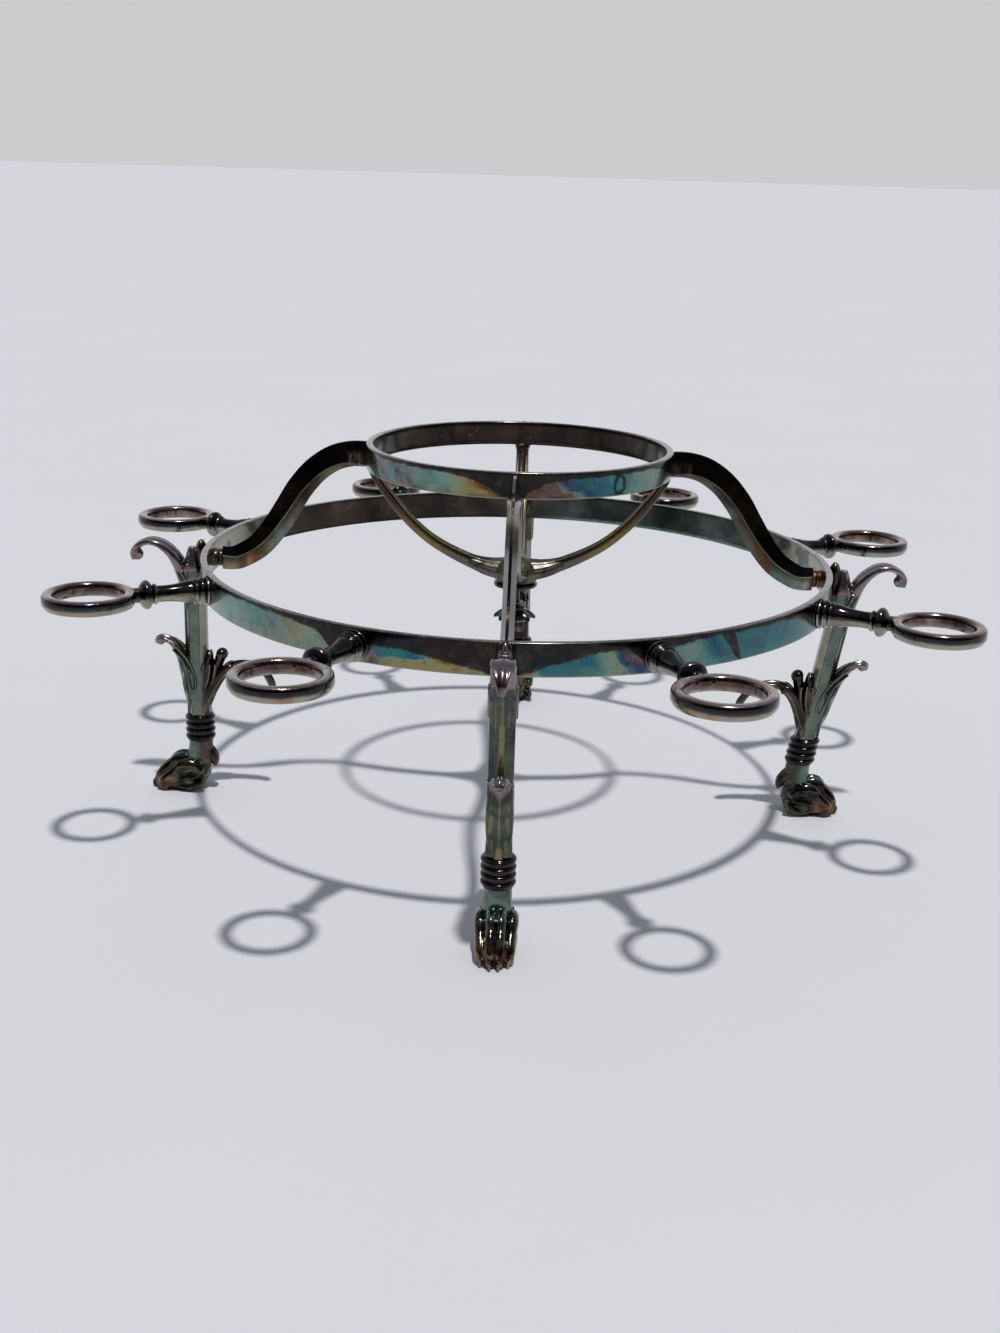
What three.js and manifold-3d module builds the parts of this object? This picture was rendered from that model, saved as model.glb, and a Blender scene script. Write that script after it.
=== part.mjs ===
// Epergne frame: a low four-legged silver-plated stand with a large band ring, a small raised
// band ring, four S-shaped straps between them, eight cast ring arms and a rod cradle with a finial.
// Millimetres, +Z up, origin on the table under the centre of the rings.

import * as THREE from "three";
import { mergeVertices } from "three/addons/utils/BufferGeometryUtils.js";
import Module from "manifold-3d";

const wasm = await Module();
wasm.setup();

// Driving dimensions
const OVERALL_HEIGHT = 135.6;
const FIT_GAP = 0.3;
const QUARTER_TURN = Math.PI / 2;

const LARGE_RING = { outer: 112.6, wall: 2.4, bottom: 85.3, height: 10.8, segments: 64 };
const SMALL_RING = { outer: 54.3, wall: 2.4, height: 8.8, segments: 44 };
const RING_EDGE = 0.5;

const STRAP_TOP_DEPTH = 9.2;
const STRAP_MIDDLE_DEPTH = 9.6;
const STRAP_END_DEPTH = 8.6;
const STRAP_WIDTH = 4.2;
const STRAP_EDGE = 1.2;
const STRAP_OUTER_END = 107;
const STRAP_END_HEIGHT = 90.6;
const STRAP_TOP_HEIGHT = 130.4;
const STRAP_STEPS = 18;

const BLOCK_DIAMETER = 6.4;

const LEG_RADIUS = 117.5;
const LEG_WIDTH = 8;
const LEG_DEPTH = 8;
const LEG_RIDGE = 3;
const COLLAR_BOTTOM = 20;
const COLLAR_TOP = 30;
const COLLAR_RADIUS = 5.6;
const COLLAR_RINGS = 4;

// The right-hand leg is bent in below the band: its foot stands closer to the axis than the others
const BEND_HEIGHT = 75;
const RIGHT_LEG_SLOPE = 0.163;

const ARM_ANGLE = THREE.MathUtils.degToRad(24.15);
const ARM_HEIGHT = 90.4;
const ARM_RING_CENTRE = 151.8;
const ARM_RING_OUTER = 15.2;
const ARM_RING_HOLE = 11.4;
const ARM_RING_HEIGHT = 5;

const ROD_DEPTH = 3.4;
const ROD_WIDTH = 4.8;
const ROD_TOP_WIDTH = 6.8;
const ROD_INNER_END = 16;
const HUB_BOTTOM = 85.8;
const HUB_RADIUS = 7.6;
const WASHER = { radius: 7.9, bottom: 84.2, top: 85.5 };
const STUD = { radius: 2, bottom: 74, top: 91.4 };
const STUD_BORE = STUD.radius + FIT_GAP;
const FINIAL = { bottom: 70.6, rim: 72, top: 77 };

// Finishes
const FINISH = {
  band: { color: 0x4b5a5c, roughness: 0.25, metalness: 1 },
  strap: { color: 0x3a332d, roughness: 0.28, metalness: 1 },
  leg: { color: 0x565a52, roughness: 0.32, metalness: 1 },
  foot: { color: 0x34322b, roughness: 0.38, metalness: 1 },
  arm: { color: 0x5c4a48, roughness: 0.22, metalness: 1 },
  rod: { color: 0x6b5a3e, roughness: 0.35, metalness: 1 },
};

/** Closed solid through rings of points, with a fan over each end */
function loft(rings) {
  const count = rings[0].length;
  const points = rings.flat();
  const faces = [];
  for (let level = 0; level < rings.length - 1; level += 1) {
    for (let i = 0; i < count; i += 1) {
      const here = level * count + i;
      const next = level * count + ((i + 1) % count);
      faces.push(here, next, next + count, here, next + count, here + count);
    }
  }
  const lastLevel = (rings.length - 1) * count;
  const startCentre = points.push(centreOf(rings[0])) - 1;
  const endCentre = points.push(centreOf(rings.at(-1))) - 1;
  for (let i = 0; i < count; i += 1) {
    const next = (i + 1) % count;
    faces.push(startCentre, next, i);
    faces.push(endCentre, lastLevel + i, lastLevel + next);
  }
  const geometry = new THREE.BufferGeometry().setFromPoints(points);
  geometry.setIndex(faces);
  return facingOut(geometry);
}

function centreOf(ring) {
  const sum = ring.reduce((total, point) => total.add(point), new THREE.Vector3());
  return sum.divideScalar(ring.length);
}

/** Turns every face over when the solid's volume comes out negative */
function facingOut(geometry) {
  const position = geometry.attributes.position;
  const index = geometry.index.array;
  const corner = [0, 1, 2].map(() => new THREE.Vector3());
  let volume = 0;
  for (let i = 0; i < index.length; i += 3) {
    corner.forEach((vertex, k) => vertex.fromBufferAttribute(position, index[i + k]));
    volume += corner[0].dot(corner[1].clone().cross(corner[2]));
  }
  if (volume < 0) {
    geometry.setIndex([...index].reverse());
  }
  return geometry;
}

/** Ellipse of [across, side] offsets */
function ellipse(sides, across, side) {
  return Array.from({ length: sides }, (_, i) => {
    const angle = (2 * Math.PI * (i + 0.5)) / sides;
    return [across * Math.cos(angle), side * Math.sin(angle)];
  });
}

/** Solid along a curve in the upright radial plane; section(t) lists [across, side] offsets */
function alongCurve(route, steps, section) {
  const rings = [];
  for (let i = 0; i <= steps; i += 1) {
    const t = i / steps;
    const at = route.getPoint(t);
    const along = route.getTangent(t);
    rings.push(
      section(t).map(
        ([across, side]) => new THREE.Vector3(at.x - along.y * across, side, at.y + along.x * across),
      ),
    );
  }
  return loft(rings);
}

function planeCurve(stops) {
  return new THREE.SplineCurve(stops.map(([first, second]) => new THREE.Vector2(first, second)));
}

/** Tapering solid; each stop is [radius from the axis, height, half depth, half width] */
function tapered(stops, steps, sides) {
  const girth = planeCurve(stops.map(([, , depth, width]) => [depth, width]));
  return alongCurve(planeCurve(stops), steps, (t) => {
    const size = girth.getPoint(t);
    return ellipse(sides, size.x, size.y);
  });
}

function ellipsoid([x, y, z], [radiusX, radiusY, radiusZ], around = 6, down = 4) {
  return new THREE.SphereGeometry(1, around, down)
    .rotateX(QUARTER_TURN)
    .scale(radiusX, radiusY, radiusZ)
    .translate(x, y, z);
}

/** Turned solid about Z; the profile lists [radius, height] and starts and ends on the axis */
function turned(profile, segments) {
  const points = profile.map(([radius, height]) => new THREE.Vector2(radius, height));
  return new THREE.LatheGeometry(points, segments).rotateX(QUARTER_TURN);
}

/** Turned solid whose axis runs outwards along X */
function turnedOutwards(profile, segments) {
  return turned(profile, segments).rotateY(QUARTER_TURN);
}

/** Band of rectangular section with eased edges, standing on `bottom` */
function bandRing({ outer, wall, height, segments }, bottom) {
  const inner = outer - wall;
  const top = bottom + height;
  const profile = [
    [inner, bottom],
    [outer, bottom],
    [outer, top - RING_EDGE],
    [outer - RING_EDGE, top],
    [inner + RING_EDGE, top],
    [inner, top - RING_EDGE],
    [inner, bottom],
  ];
  return turned(profile, segments);
}

function toSolid(geometry) {
  const bare = geometry.clone();
  bare.deleteAttribute("normal");
  bare.deleteAttribute("uv");
  const merged = mergeVertices(bare, 1e-4);
  const index = merged.index.array;
  const corners = [];
  for (let i = 0; i < index.length; i += 3) {
    const [a, b, c] = [index[i], index[i + 1], index[i + 2]];
    if (a !== b && b !== c && c !== a) {
      corners.push(a, b, c);
    }
  }
  return new wasm.Manifold(
    new wasm.Mesh({
      numProp: 3,
      vertProperties: new Float32Array(merged.attributes.position.array),
      triVerts: new Uint32Array(corners),
    }),
  );
}

function toGeometry(solid) {
  const { vertProperties, triVerts } = solid.getMesh();
  const geometry = new THREE.BufferGeometry();
  geometry.setAttribute("position", new THREE.BufferAttribute(vertProperties, 3));
  geometry.setIndex(new THREE.BufferAttribute(triVerts, 1));
  return geometry;
}

function joined(shapes, cuts = []) {
  let solid = toSolid(shapes[0]);
  for (const shape of shapes.slice(1)) {
    solid = solid.add(toSolid(shape));
  }
  for (const cut of cuts) {
    solid = solid.subtract(toSolid(cut));
  }
  return toGeometry(solid);
}

/** The strap is deepest where it is steepest */
function strapDepth(t) {
  return t < 0.5
    ? THREE.MathUtils.lerp(STRAP_TOP_DEPTH, STRAP_MIDDLE_DEPTH, 2 * t)
    : THREE.MathUtils.lerp(STRAP_MIDDLE_DEPTH, STRAP_END_DEPTH, 2 * t - 1);
}

/** S-shaped strap of six-sided section; its side ridge climbs from the lower edge towards the upper one */
function strap() {
  const route = planeCurve([
    [SMALL_RING.outer + FIT_GAP, STRAP_TOP_HEIGHT],
    [60, STRAP_TOP_HEIGHT - 0.1],
    [66.2, 128.5],
    [72.6, 124.1],
    [78.3, 117.5],
    [82.9, 110],
    [87.8, 102.4],
    [93.5, 95.7],
    [100.1, 91.5],
    [103.6, STRAP_END_HEIGHT],
    [STRAP_OUTER_END, STRAP_END_HEIGHT],
  ]);
  const edge = STRAP_EDGE / 2;
  const side = STRAP_WIDTH / 2;
  return alongCurve(route, STRAP_STEPS, (t) => {
    const half = strapDepth(t) / 2;
    const ridge = THREE.MathUtils.lerp(-0.85 * half, 0.3 * half, t ** 0.75);
    return [
      [half, edge],
      [half, -edge],
      [ridge, -side],
      [-half, -edge],
      [-half, edge],
      [ridge, side],
    ];
  });
}

/** Short round block between the strap's end and the inside of the large ring */
function strapBlock() {
  const start = STRAP_OUTER_END + FIT_GAP;
  const end = LARGE_RING.outer - LARGE_RING.wall - FIT_GAP;
  const radius = BLOCK_DIAMETER / 2;
  const profile = [
    [0, start],
    [radius - RING_EDGE, start],
    [radius, start + RING_EDGE],
    [radius, end],
    [0, end],
  ];
  return turnedOutwards(profile, 14).translate(0, 0, STRAP_END_HEIGHT);
}

/** Eight-sided leg section with a raised ridge down its outer face */
function shaftRing([height, centre, halfDepth, halfWidth]) {
  const ridge = LEG_RIDGE / 2;
  const outline = [
    [halfDepth, ridge],
    [halfDepth * 0.25, halfWidth],
    [-halfDepth * 0.7, halfWidth],
    [-halfDepth, halfWidth * 0.6],
  ];
  const mirrored = outline.map(([x, y]) => [x, -y]).reverse();
  return [...outline, ...mirrored].map(([x, y]) => new THREE.Vector3(centre + x, y, height));
}

function legShaft() {
  const half = LEG_DEPTH / 2;
  const width = LEG_WIDTH / 2;
  const stops = [
    [COLLAR_TOP + FIT_GAP, LEG_RADIUS - 0.3, half + 0.2, width + 0.2],
    [36, LEG_RADIUS - 0.2, half, width],
    [60, LEG_RADIUS, half, width],
    [84, LEG_RADIUS, half, width],
    [91, LEG_RADIUS + 0.2, half - 1, width - 0.8],
  ];
  return loft(stops.map(shaftRing));
}

/** Scroll leaf at the top of the leg: widest at its crest, and rolled up at its narrow tip */
function topLeaf() {
  const leaf = tapered(
    [
      [120, 77, 2.0, 3.5],
      [121.4, 83, 2.7, 3.7],
      [124.4, 90, 2.3, 3.8],
      [129.3, 95, 1.5, 3.9],
      [134.2, 95.9, 1.2, 3.8],
      [138, 93.6, 1.2, 3.1],
      [139.4, 91, 1.2, 2.3],
    ],
    7,
    6,
  );
  return [leaf, ellipsoid([139.0, 0, 90.6], [2.45, 2.5, 2.45])];
}

/** Small upright leaf with a domed top that lies against the outside of the band */
function uprightLeaf() {
  const inside = LARGE_RING.outer + FIT_GAP;
  return tapered(
    [
      [inside + 2.2, 74, 2.1, 2.6],
      [inside + 2.2, 88, 2.1, 2.6],
      [inside + 2.0, 94, 1.9, 2.4],
      [inside + 1.7, 97, 0.8, 1.2],
    ],
    4,
    6,
  );
}

/** Leaf spray half way up the leg: a leaf outwards, and a long curl, a rolled lobe and side lobes inwards */
function middleLeaves() {
  const outward = tapered(
    [
      [119, 36, 2.6, 4.1],
      [120.6, 45, 2.5, 4.1],
      [123.4, 53, 1.8, 3.6],
      [127.4, 58.4, 1.3, 2.7],
      [131.6, 59.4, 1.4, 2.2],
    ],
    5,
    6,
  );
  const curl = tapered(
    [
      [115.6, 33, 2.4, 3.8],
      [112.8, 39, 2.2, 3.6],
      [108.2, 45.6, 1.8, 3.0],
      [102.4, 49.8, 1.5, 2.7],
      [96, 49.6, 1.5, 2.6],
      [91.6, 46.2, 1.6, 2.4],
      [89.6, 41.4, 1.3, 1.8],
    ],
    7,
    6,
  );
  const rolled = tapered(
    [
      [114.4, 37, 2.2, 3.3],
      [111.6, 44, 2.0, 2.9],
      [109.4, 49.6, 1.8, 2.6],
      [108.2, 53.4, 1.9, 2.6],
    ],
    3,
    6,
  );
  const roll = ellipsoid([108.2, 0, 53.9], [2.6, 2.9, 2.6]);
  const lobes = [-1, 1].map((side) =>
    tapered(
      [
        [113.4, 36, 1.6, 1.2],
        [110.6, 42.4, 1.6, 1.3],
        [106.8, 47.6, 1.5, 1.3],
        [104.6, 48.6, 1.2, 1.1],
      ],
      3,
      5,
    ).translate(0, side * 3, 0),
  );
  const back = tapered(
    [
      [114.6, 36, 2.0, 3.9],
      [113.4, 45, 2.0, 3.9],
      [112.6, 52, 1.4, 3.4],
      [112.2, 54.6, 0.8, 2.6],
    ],
    3,
    6,
  );
  return [outward, curl, rolled, roll, ...lobes, back];
}

/** Cast leg above the collar, all one casting */
function leg() {
  return joined([legShaft(), ...topLeaf(), uprightLeaf(), ...middleLeaves()]);
}

function reededCollar() {
  const pitch = (COLLAR_TOP - COLLAR_BOTTOM) / COLLAR_RINGS;
  const profile = [[0, COLLAR_BOTTOM]];
  for (let ring = 0; ring < COLLAR_RINGS; ring += 1) {
    const base = COLLAR_BOTTOM + ring * pitch;
    profile.push(
      [COLLAR_RADIUS - 0.8, base],
      [COLLAR_RADIUS, base + pitch * 0.3],
      [COLLAR_RADIUS, base + pitch * 0.7],
    );
  }
  profile.push([COLLAR_RADIUS - 0.8, COLLAR_TOP], [0, COLLAR_TOP]);
  return turned(profile, 10).translate(LEG_RADIUS - 0.4, 0, 0);
}

/** Lion paw: ankle, pad, four knuckles and four toes, cut flat where it stands */
function pawFoot() {
  const ankle = tapered(
    [
      [LEG_RADIUS - 0.4, 21, 4.4, 4.4],
      [LEG_RADIUS - 0.6, 17, 4.3, 4.2],
      [LEG_RADIUS - 0.2, 13, 5.0, 4.8],
      [LEG_RADIUS + 0.6, 8, 6.4, 6.0],
    ],
    3,
    8,
  );
  const pad = tapered(
    [
      [114, 3.6, 3.8, 3.2],
      [116, 5.2, 6.0, 5.2],
      [120.6, 6.2, 7.4, 6.6],
      [126, 5.8, 7.2, 6.9],
      [131, 4.2, 5.4, 6.0],
    ],
    4,
    8,
  );
  const tuft = tapered(
    [
      [113.6, 19, 1.2, 2.2],
      [112.2, 14.6, 1.5, 2.8],
      [111.4, 10.4, 1.0, 1.8],
    ],
    2,
    6,
  );
  const toes = [];
  for (const place of [-1.5, -0.5, 0.5, 1.5]) {
    const setBack = Math.abs(place) > 1 ? 2 : 0;
    const toe = tapered(
      [
        [121 - setBack, 10.4, 2.6, 1.8],
        [125.6 - setBack, 11.6, 3.0, 2.1],
        [130 - setBack, 9, 2.8, 2.0],
        [133.4 - setBack, 4.6, 2.6, 2.1],
        [133.4 - setBack, -1, 2.4, 1.9],
      ],
      3,
      5,
    );
    toes.push(toe.translate(0, place * 3.6, 0));
  }
  const table = new THREE.BoxGeometry(60, 40, 20).translate(LEG_RADIUS, 0, -10);
  return joined([ankle, reededCollar(), pad, tuft, ...toes], [table]);
}

/** Leans the part of a leg below BEND_HEIGHT towards the axis */
function leaned(geometry, slope) {
  const position = geometry.attributes.position;
  for (let i = 0; i < position.count; i += 1) {
    const drop = Math.max(0, BEND_HEIGHT - position.getZ(i));
    position.setX(i, position.getX(i) - slope * drop);
  }
  return geometry;
}

/** Cast arm: base disc, trumpet neck, bead and a ring for a dish */
function ringArm() {
  const start = LARGE_RING.outer + FIT_GAP;
  const stem = turnedOutwards(
    [
      [0, start],
      [4.8, start],
      [4.8, 115.6],
      [3.9, 116.1],
      [4.2, 116.7],
      [2.9, 124.5],
      [2.8, 130],
      [3.5, 130.9],
      [3.0, 131.7],
      [4.6, 133.4],
      [2.4, 136.4],
      [2.2, 139],
      [0, 139],
    ],
    8,
  );
  const half = ARM_RING_HEIGHT / 2;
  const middle = (ARM_RING_OUTER + ARM_RING_HOLE) / 2;
  const ring = turned(
    [
      [ARM_RING_HOLE, -0.6 * half],
      [middle, -half],
      [ARM_RING_OUTER, -0.6 * half],
      [ARM_RING_OUTER, 0.5 * half],
      [middle, half],
      [ARM_RING_HOLE, 0.5 * half],
      [ARM_RING_HOLE, -0.6 * half],
    ],
    22,
  ).translate(ARM_RING_CENTRE, 0, 0);
  return joined([stem, ring]);
}

/** Flat rod that sweeps down from under the small ring to the hub, flared where it meets the ring */
function cradleRod() {
  const ringBottom = OVERALL_HEIGHT - SMALL_RING.height;
  const route = planeCurve([
    [52.4, ringBottom - FIT_GAP],
    [51.5, 123.8],
    [48.9, 119.6],
    [45.2, 114.4],
    [41, 109.2],
    [36, 104.3],
    [31, 100.3],
    [25.3, 96.9],
    [20, 94.3],
    [ROD_INNER_END, 92.7],
  ]);
  const half = ROD_DEPTH / 2;
  const flareEnd = 0.12;
  return alongCurve(route, 16, (t) => {
    const flare = Math.max(0, 1 - t / flareEnd);
    const side = THREE.MathUtils.lerp(ROD_WIDTH, ROD_TOP_WIDTH, flare) / 2;
    return [
      [half, side * 0.6],
      [half, -side * 0.6],
      [0, -side],
      [-half, -side * 0.6],
      [-half, side * 0.6],
      [0, side],
    ];
  });
}

/** Flared hub with a stub for each rod and a blind bore for the stud */
function cradleHub() {
  const core = turned(
    [
      [0, HUB_BOTTOM],
      [HUB_RADIUS, HUB_BOTTOM],
      [HUB_RADIUS + 0.8, 88],
      [HUB_RADIUS + 0.6, 91],
      [5.4, 94.4],
      [2.6, 95.4],
      [0, 95.5],
    ],
    16,
  );
  const stubs = [0, 1, 2, 3].map((turn) =>
    tapered(
      [
        [ROD_INNER_END - FIT_GAP, 92.55, 1.9, 2.4],
        [12.6, 91.3, 2.8, 3.0],
        [8.6, 90.4, 3.8, 4.4],
        [4, 90.2, 4.1, 4.6],
      ],
      3,
      6,
    ).rotateZ(turn * QUARTER_TURN),
  );
  const bore = turned(
    [
      [0, HUB_BOTTOM - 2],
      [STUD_BORE, HUB_BOTTOM - 2],
      [STUD_BORE, STUD.top + FIT_GAP],
      [0, STUD.top + FIT_GAP],
    ],
    12,
  );
  return joined([core, ...stubs], [bore]);
}

function hubWasher() {
  const rim = 0.4;
  const profile = [
    [STUD_BORE, WASHER.bottom],
    [WASHER.radius - rim, WASHER.bottom],
    [WASHER.radius, WASHER.bottom + rim],
    [WASHER.radius, WASHER.top - rim],
    [WASHER.radius - rim, WASHER.top],
    [STUD_BORE, WASHER.top],
    [STUD_BORE, WASHER.bottom],
  ];
  return turned(profile, 20);
}

function hubStud() {
  const profile = [
    [0, STUD.bottom],
    [STUD.radius, STUD.bottom],
    [STUD.radius, STUD.top],
    [0, STUD.top],
  ];
  return turned(profile, 12);
}

/** Finial screwed on the stud: a domed cap with a blind bore and a leafy rim of eight lobes */
function finial() {
  const dome = turned(
    [
      [0, FINIAL.bottom],
      [3.4, FINIAL.bottom + 0.3],
      [6, FINIAL.rim - 0.4],
      [6.6, FINIAL.rim + 1],
      [5.2, 74.6],
      [3.9, 75.2],
      [3.9, FINIAL.top],
      [0, FINIAL.top],
    ],
    12,
  );
  const lobeCount = 8;
  const lobes = Array.from({ length: lobeCount }, (_, i) =>
    ellipsoid([5.5, 0, FINIAL.rim + 0.5], [2.2, 1.7, 1.2]).rotateZ((2 * Math.PI * i) / lobeCount),
  );
  const bore = turned(
    [
      [0, STUD.bottom - FIT_GAP],
      [STUD_BORE, STUD.bottom - FIT_GAP],
      [STUD_BORE, FINIAL.top + 1],
      [0, FINIAL.top + 1],
    ],
    12,
  );
  return joined([dome, ...lobes], [bore]);
}

function piece(name, geometry, finish) {
  const mesh = new THREE.Mesh(geometry, new THREE.MeshStandardMaterial(finish));
  mesh.name = name;
  return mesh;
}

/** Everything that stands in one radial direction: strap, block, leg, foot and rod */
function quarter({ side, angle, slope }) {
  const group = new THREE.Group();
  group.add(
    piece(`strap_${side}`, strap(), FINISH.strap),
    piece(`strap_block_${side}`, strapBlock(), FINISH.strap),
    piece(`leg_${side}`, leaned(leg(), slope), FINISH.leg),
    piece(`paw_foot_${side}`, leaned(pawFoot(), slope), FINISH.foot),
    piece(`cradle_rod_${side}`, cradleRod(), FINISH.rod),
  );
  group.rotation.z = angle;
  return group;
}

function armAt(name, angle) {
  const arm = piece(name, ringArm(), FINISH.arm);
  const group = new THREE.Group();
  group.add(arm);
  group.position.z = ARM_HEIGHT;
  group.rotation.z = angle;
  return group;
}

const SIDES = [
  { side: "right", angle: 0, slope: RIGHT_LEG_SLOPE, before: "front", after: "rear" },
  { side: "rear", angle: QUARTER_TURN, slope: 0, before: "right", after: "left" },
  { side: "left", angle: 2 * QUARTER_TURN, slope: 0, before: "rear", after: "front" },
  { side: "front", angle: 3 * QUARTER_TURN, slope: 0, before: "left", after: "right" },
];

const frame = new THREE.Group();
frame.add(
  piece("large_ring", bandRing(LARGE_RING, LARGE_RING.bottom), FINISH.band),
  piece("small_ring", bandRing(SMALL_RING, OVERALL_HEIGHT - SMALL_RING.height), FINISH.band),
);
for (const station of SIDES) {
  frame.add(
    quarter(station),
    armAt(`ring_arm_${station.side}_${station.before}`, station.angle - ARM_ANGLE),
    armAt(`ring_arm_${station.side}_${station.after}`, station.angle + ARM_ANGLE),
  );
}
frame.add(
  piece("cradle_hub", cradleHub(), FINISH.rod),
  piece("hub_washer", hubWasher(), FINISH.foot),
  piece("hub_stud", hubStud(), FINISH.foot),
  piece("finial", finial(), FINISH.foot),
);

export default frame;
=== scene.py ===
"""Finished pieces and stage for a silver-plated epergne frame, built round its measured frame."""

import math

import bmesh
import bpy
import numpy
from bpy.props import FloatProperty, FloatVectorProperty, IntProperty, PointerProperty
from mathutils import Matrix, Vector


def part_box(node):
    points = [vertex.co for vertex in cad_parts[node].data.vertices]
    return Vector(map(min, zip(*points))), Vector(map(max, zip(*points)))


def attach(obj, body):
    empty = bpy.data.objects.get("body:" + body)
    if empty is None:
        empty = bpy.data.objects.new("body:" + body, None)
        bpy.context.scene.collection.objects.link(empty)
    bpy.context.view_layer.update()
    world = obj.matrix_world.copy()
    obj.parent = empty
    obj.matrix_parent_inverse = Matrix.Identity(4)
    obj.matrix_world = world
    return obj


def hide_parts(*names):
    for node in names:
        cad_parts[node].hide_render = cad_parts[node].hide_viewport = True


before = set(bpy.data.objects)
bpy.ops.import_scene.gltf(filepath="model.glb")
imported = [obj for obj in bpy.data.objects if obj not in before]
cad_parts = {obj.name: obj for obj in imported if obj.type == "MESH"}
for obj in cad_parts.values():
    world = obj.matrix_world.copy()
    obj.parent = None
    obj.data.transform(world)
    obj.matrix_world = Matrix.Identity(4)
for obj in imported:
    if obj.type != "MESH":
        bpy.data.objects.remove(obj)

bl_info = {
    "name": "Epergne frame",
    "version": (1, 0, 0),
    "blender": (4, 5, 0),
    "location": "3D View > Sidebar > Epergne",
    "description": "Models the bands, straps, legs, arms and cradle of a tarnished epergne frame",
    "category": "Add Mesh",
}

MM = 0.001
TURN = math.tau
QUARTER = math.pi / 2
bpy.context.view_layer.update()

LARGE_LOW, LARGE_HIGH = (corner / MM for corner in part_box("large_ring"))
SMALL_LOW, SMALL_HIGH = (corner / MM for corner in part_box("small_ring"))
STRAP_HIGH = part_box("strap_right")[1] / MM
BLOCK_LOW, BLOCK_HIGH = (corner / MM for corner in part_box("strap_block_right"))
HUB_LOW, HUB_HIGH = (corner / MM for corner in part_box("cradle_hub"))
WASHER_LOW, WASHER_HIGH = (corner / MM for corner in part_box("hub_washer"))
STUD_LOW, STUD_HIGH = (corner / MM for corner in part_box("hub_stud"))
FINIAL_LOW, FINIAL_HIGH = (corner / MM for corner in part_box("finial"))

BAND_WALL = 2.4
BAND_SLANT = 2.2
ARM_ANGLE = math.radians(24.15)
SIDES = {"right": 0, "rear": QUARTER, "left": 2 * QUARTER, "front": 3 * QUARTER}
ARMS = {
    "right_front": -ARM_ANGLE,
    "right_rear": ARM_ANGLE,
    "rear_right": QUARTER - ARM_ANGLE,
    "rear_left": QUARTER + ARM_ANGLE,
    "left_rear": 2 * QUARTER - ARM_ANGLE,
    "left_front": 2 * QUARTER + ARM_ANGLE,
    "front_left": 3 * QUARTER - ARM_ANGLE,
    "front_right": 3 * QUARTER + ARM_ANGLE,
}


class BandSizes(bpy.types.PropertyGroup):
    """Sizes of the two band rings, in millimetres"""

    edge: FloatProperty(
        name="Edge", description="Radius of the eased edges of both bands", default=0.45, min=0.1,
    )
    steps: IntProperty(name="Steps", description="Steps round each band", default=288, min=32)


class StrapSizes(bpy.types.PropertyGroup):
    """Sizes of the S-shaped straps, in millimetres"""

    depth: FloatProperty(name="Depth", description="Height of the strap's section", default=9.1, min=1)
    width: FloatProperty(name="Width", description="Thickness over the side ridges", default=4.1, min=1)
    steps: IntProperty(name="Steps", description="Steps along a strap", default=84, min=8)


class CastingSizes(bpy.types.PropertyGroup):
    """How finely the castings are made, in millimetres"""

    leg_grain: FloatProperty(
        name="Leg grain", description="Cell size that fuses a leg", default=0.25, min=0.1,
    )
    paw_grain: FloatProperty(
        name="Paw grain", description="Cell size that fuses a foot", default=0.23, min=0.1,
    )
    lean_height: FloatProperty(
        name="Bend height", description="Height below which a leg is bent in", default=75,
    )
    lean: FloatProperty(name="Lean", description="Slope of the bent right leg", default=0.163)


class ArmSizes(bpy.types.PropertyGroup):
    """Sizes of the cast arms, in millimetres"""

    height: FloatProperty(name="Height", description="Height of the arm's axis", default=90.4)
    ring_centre: FloatProperty(
        name="Ring centre", description="Distance of the dish ring from the axis", default=151.8,
    )
    ring_outer: FloatProperty(
        name="Ring outside", description="Outside radius of the dish ring", default=15.2,
    )
    ring_hole: FloatProperty(name="Ring hole", description="Radius of the dish ring's hole", default=11.4)


class CradleSizes(bpy.types.PropertyGroup):
    """Sizes of the cradle rods, in millimetres"""

    depth: FloatProperty(name="Depth", description="Thickness of a rod in its bending plane", default=3.4)
    width: FloatProperty(name="Width", description="Width of a rod over its ridges", default=4.8)
    steps: IntProperty(name="Steps", description="Steps along a rod", default=60, min=8)


class FinishColours(bpy.types.PropertyGroup):
    """Colours of the tarnished silver plate, as they look in even light"""

    umber: FloatVectorProperty(
        name="Umber", description="Heaviest tarnish", subtype="COLOR", default=(0.085, 0.07, 0.06),
    )
    worn: FloatVectorProperty(
        name="Worn plate", description="Rubbed edges of the plate", subtype="COLOR",
        default=(0.66, 0.64, 0.62),
    )
    brass: FloatVectorProperty(
        name="Brass", description="Brass that shows on ridges", subtype="COLOR", default=(0.65, 0.62, 0.52),
    )
    sage: FloatVectorProperty(
        name="Sage", description="Grey-green bloom on the legs", subtype="COLOR",
        default=(0.36, 0.43, 0.40),
    )


class StageSettings(bpy.types.PropertyGroup):
    """Floor, lamps and camera"""

    floor: FloatVectorProperty(
        name="Floor", description="Floor colour", subtype="COLOR", default=(0.87, 0.87, 0.88),
    )
    sun_strength: FloatProperty(name="Sun strength", description="Strength of the main lamp", default=2.2)
    sun_spread: FloatProperty(
        name="Sun spread", description="Softness of the shadows", default=0.045, unit="ROTATION",
    )
    lens: FloatProperty(
        name="Lens", description="Focal length for a 36 mm long side", default=42.65, unit="CAMERA",
    )


def linear(colour):
    """Colour as a screen shows it, turned into scene light"""
    return tuple(c / 12.92 if c <= 0.04045 else ((c + 0.055) / 1.055) ** 2.4 for c in colour)


# Mesh work

def deselect_all():
    if bpy.context.object and bpy.context.object.mode != "OBJECT":
        bpy.ops.object.mode_set(mode="OBJECT")
    bpy.ops.object.select_all(action="DESELECT")


def choose(piece):
    deselect_all()
    piece.select_set(True)
    bpy.context.view_layer.objects.active = piece


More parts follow.
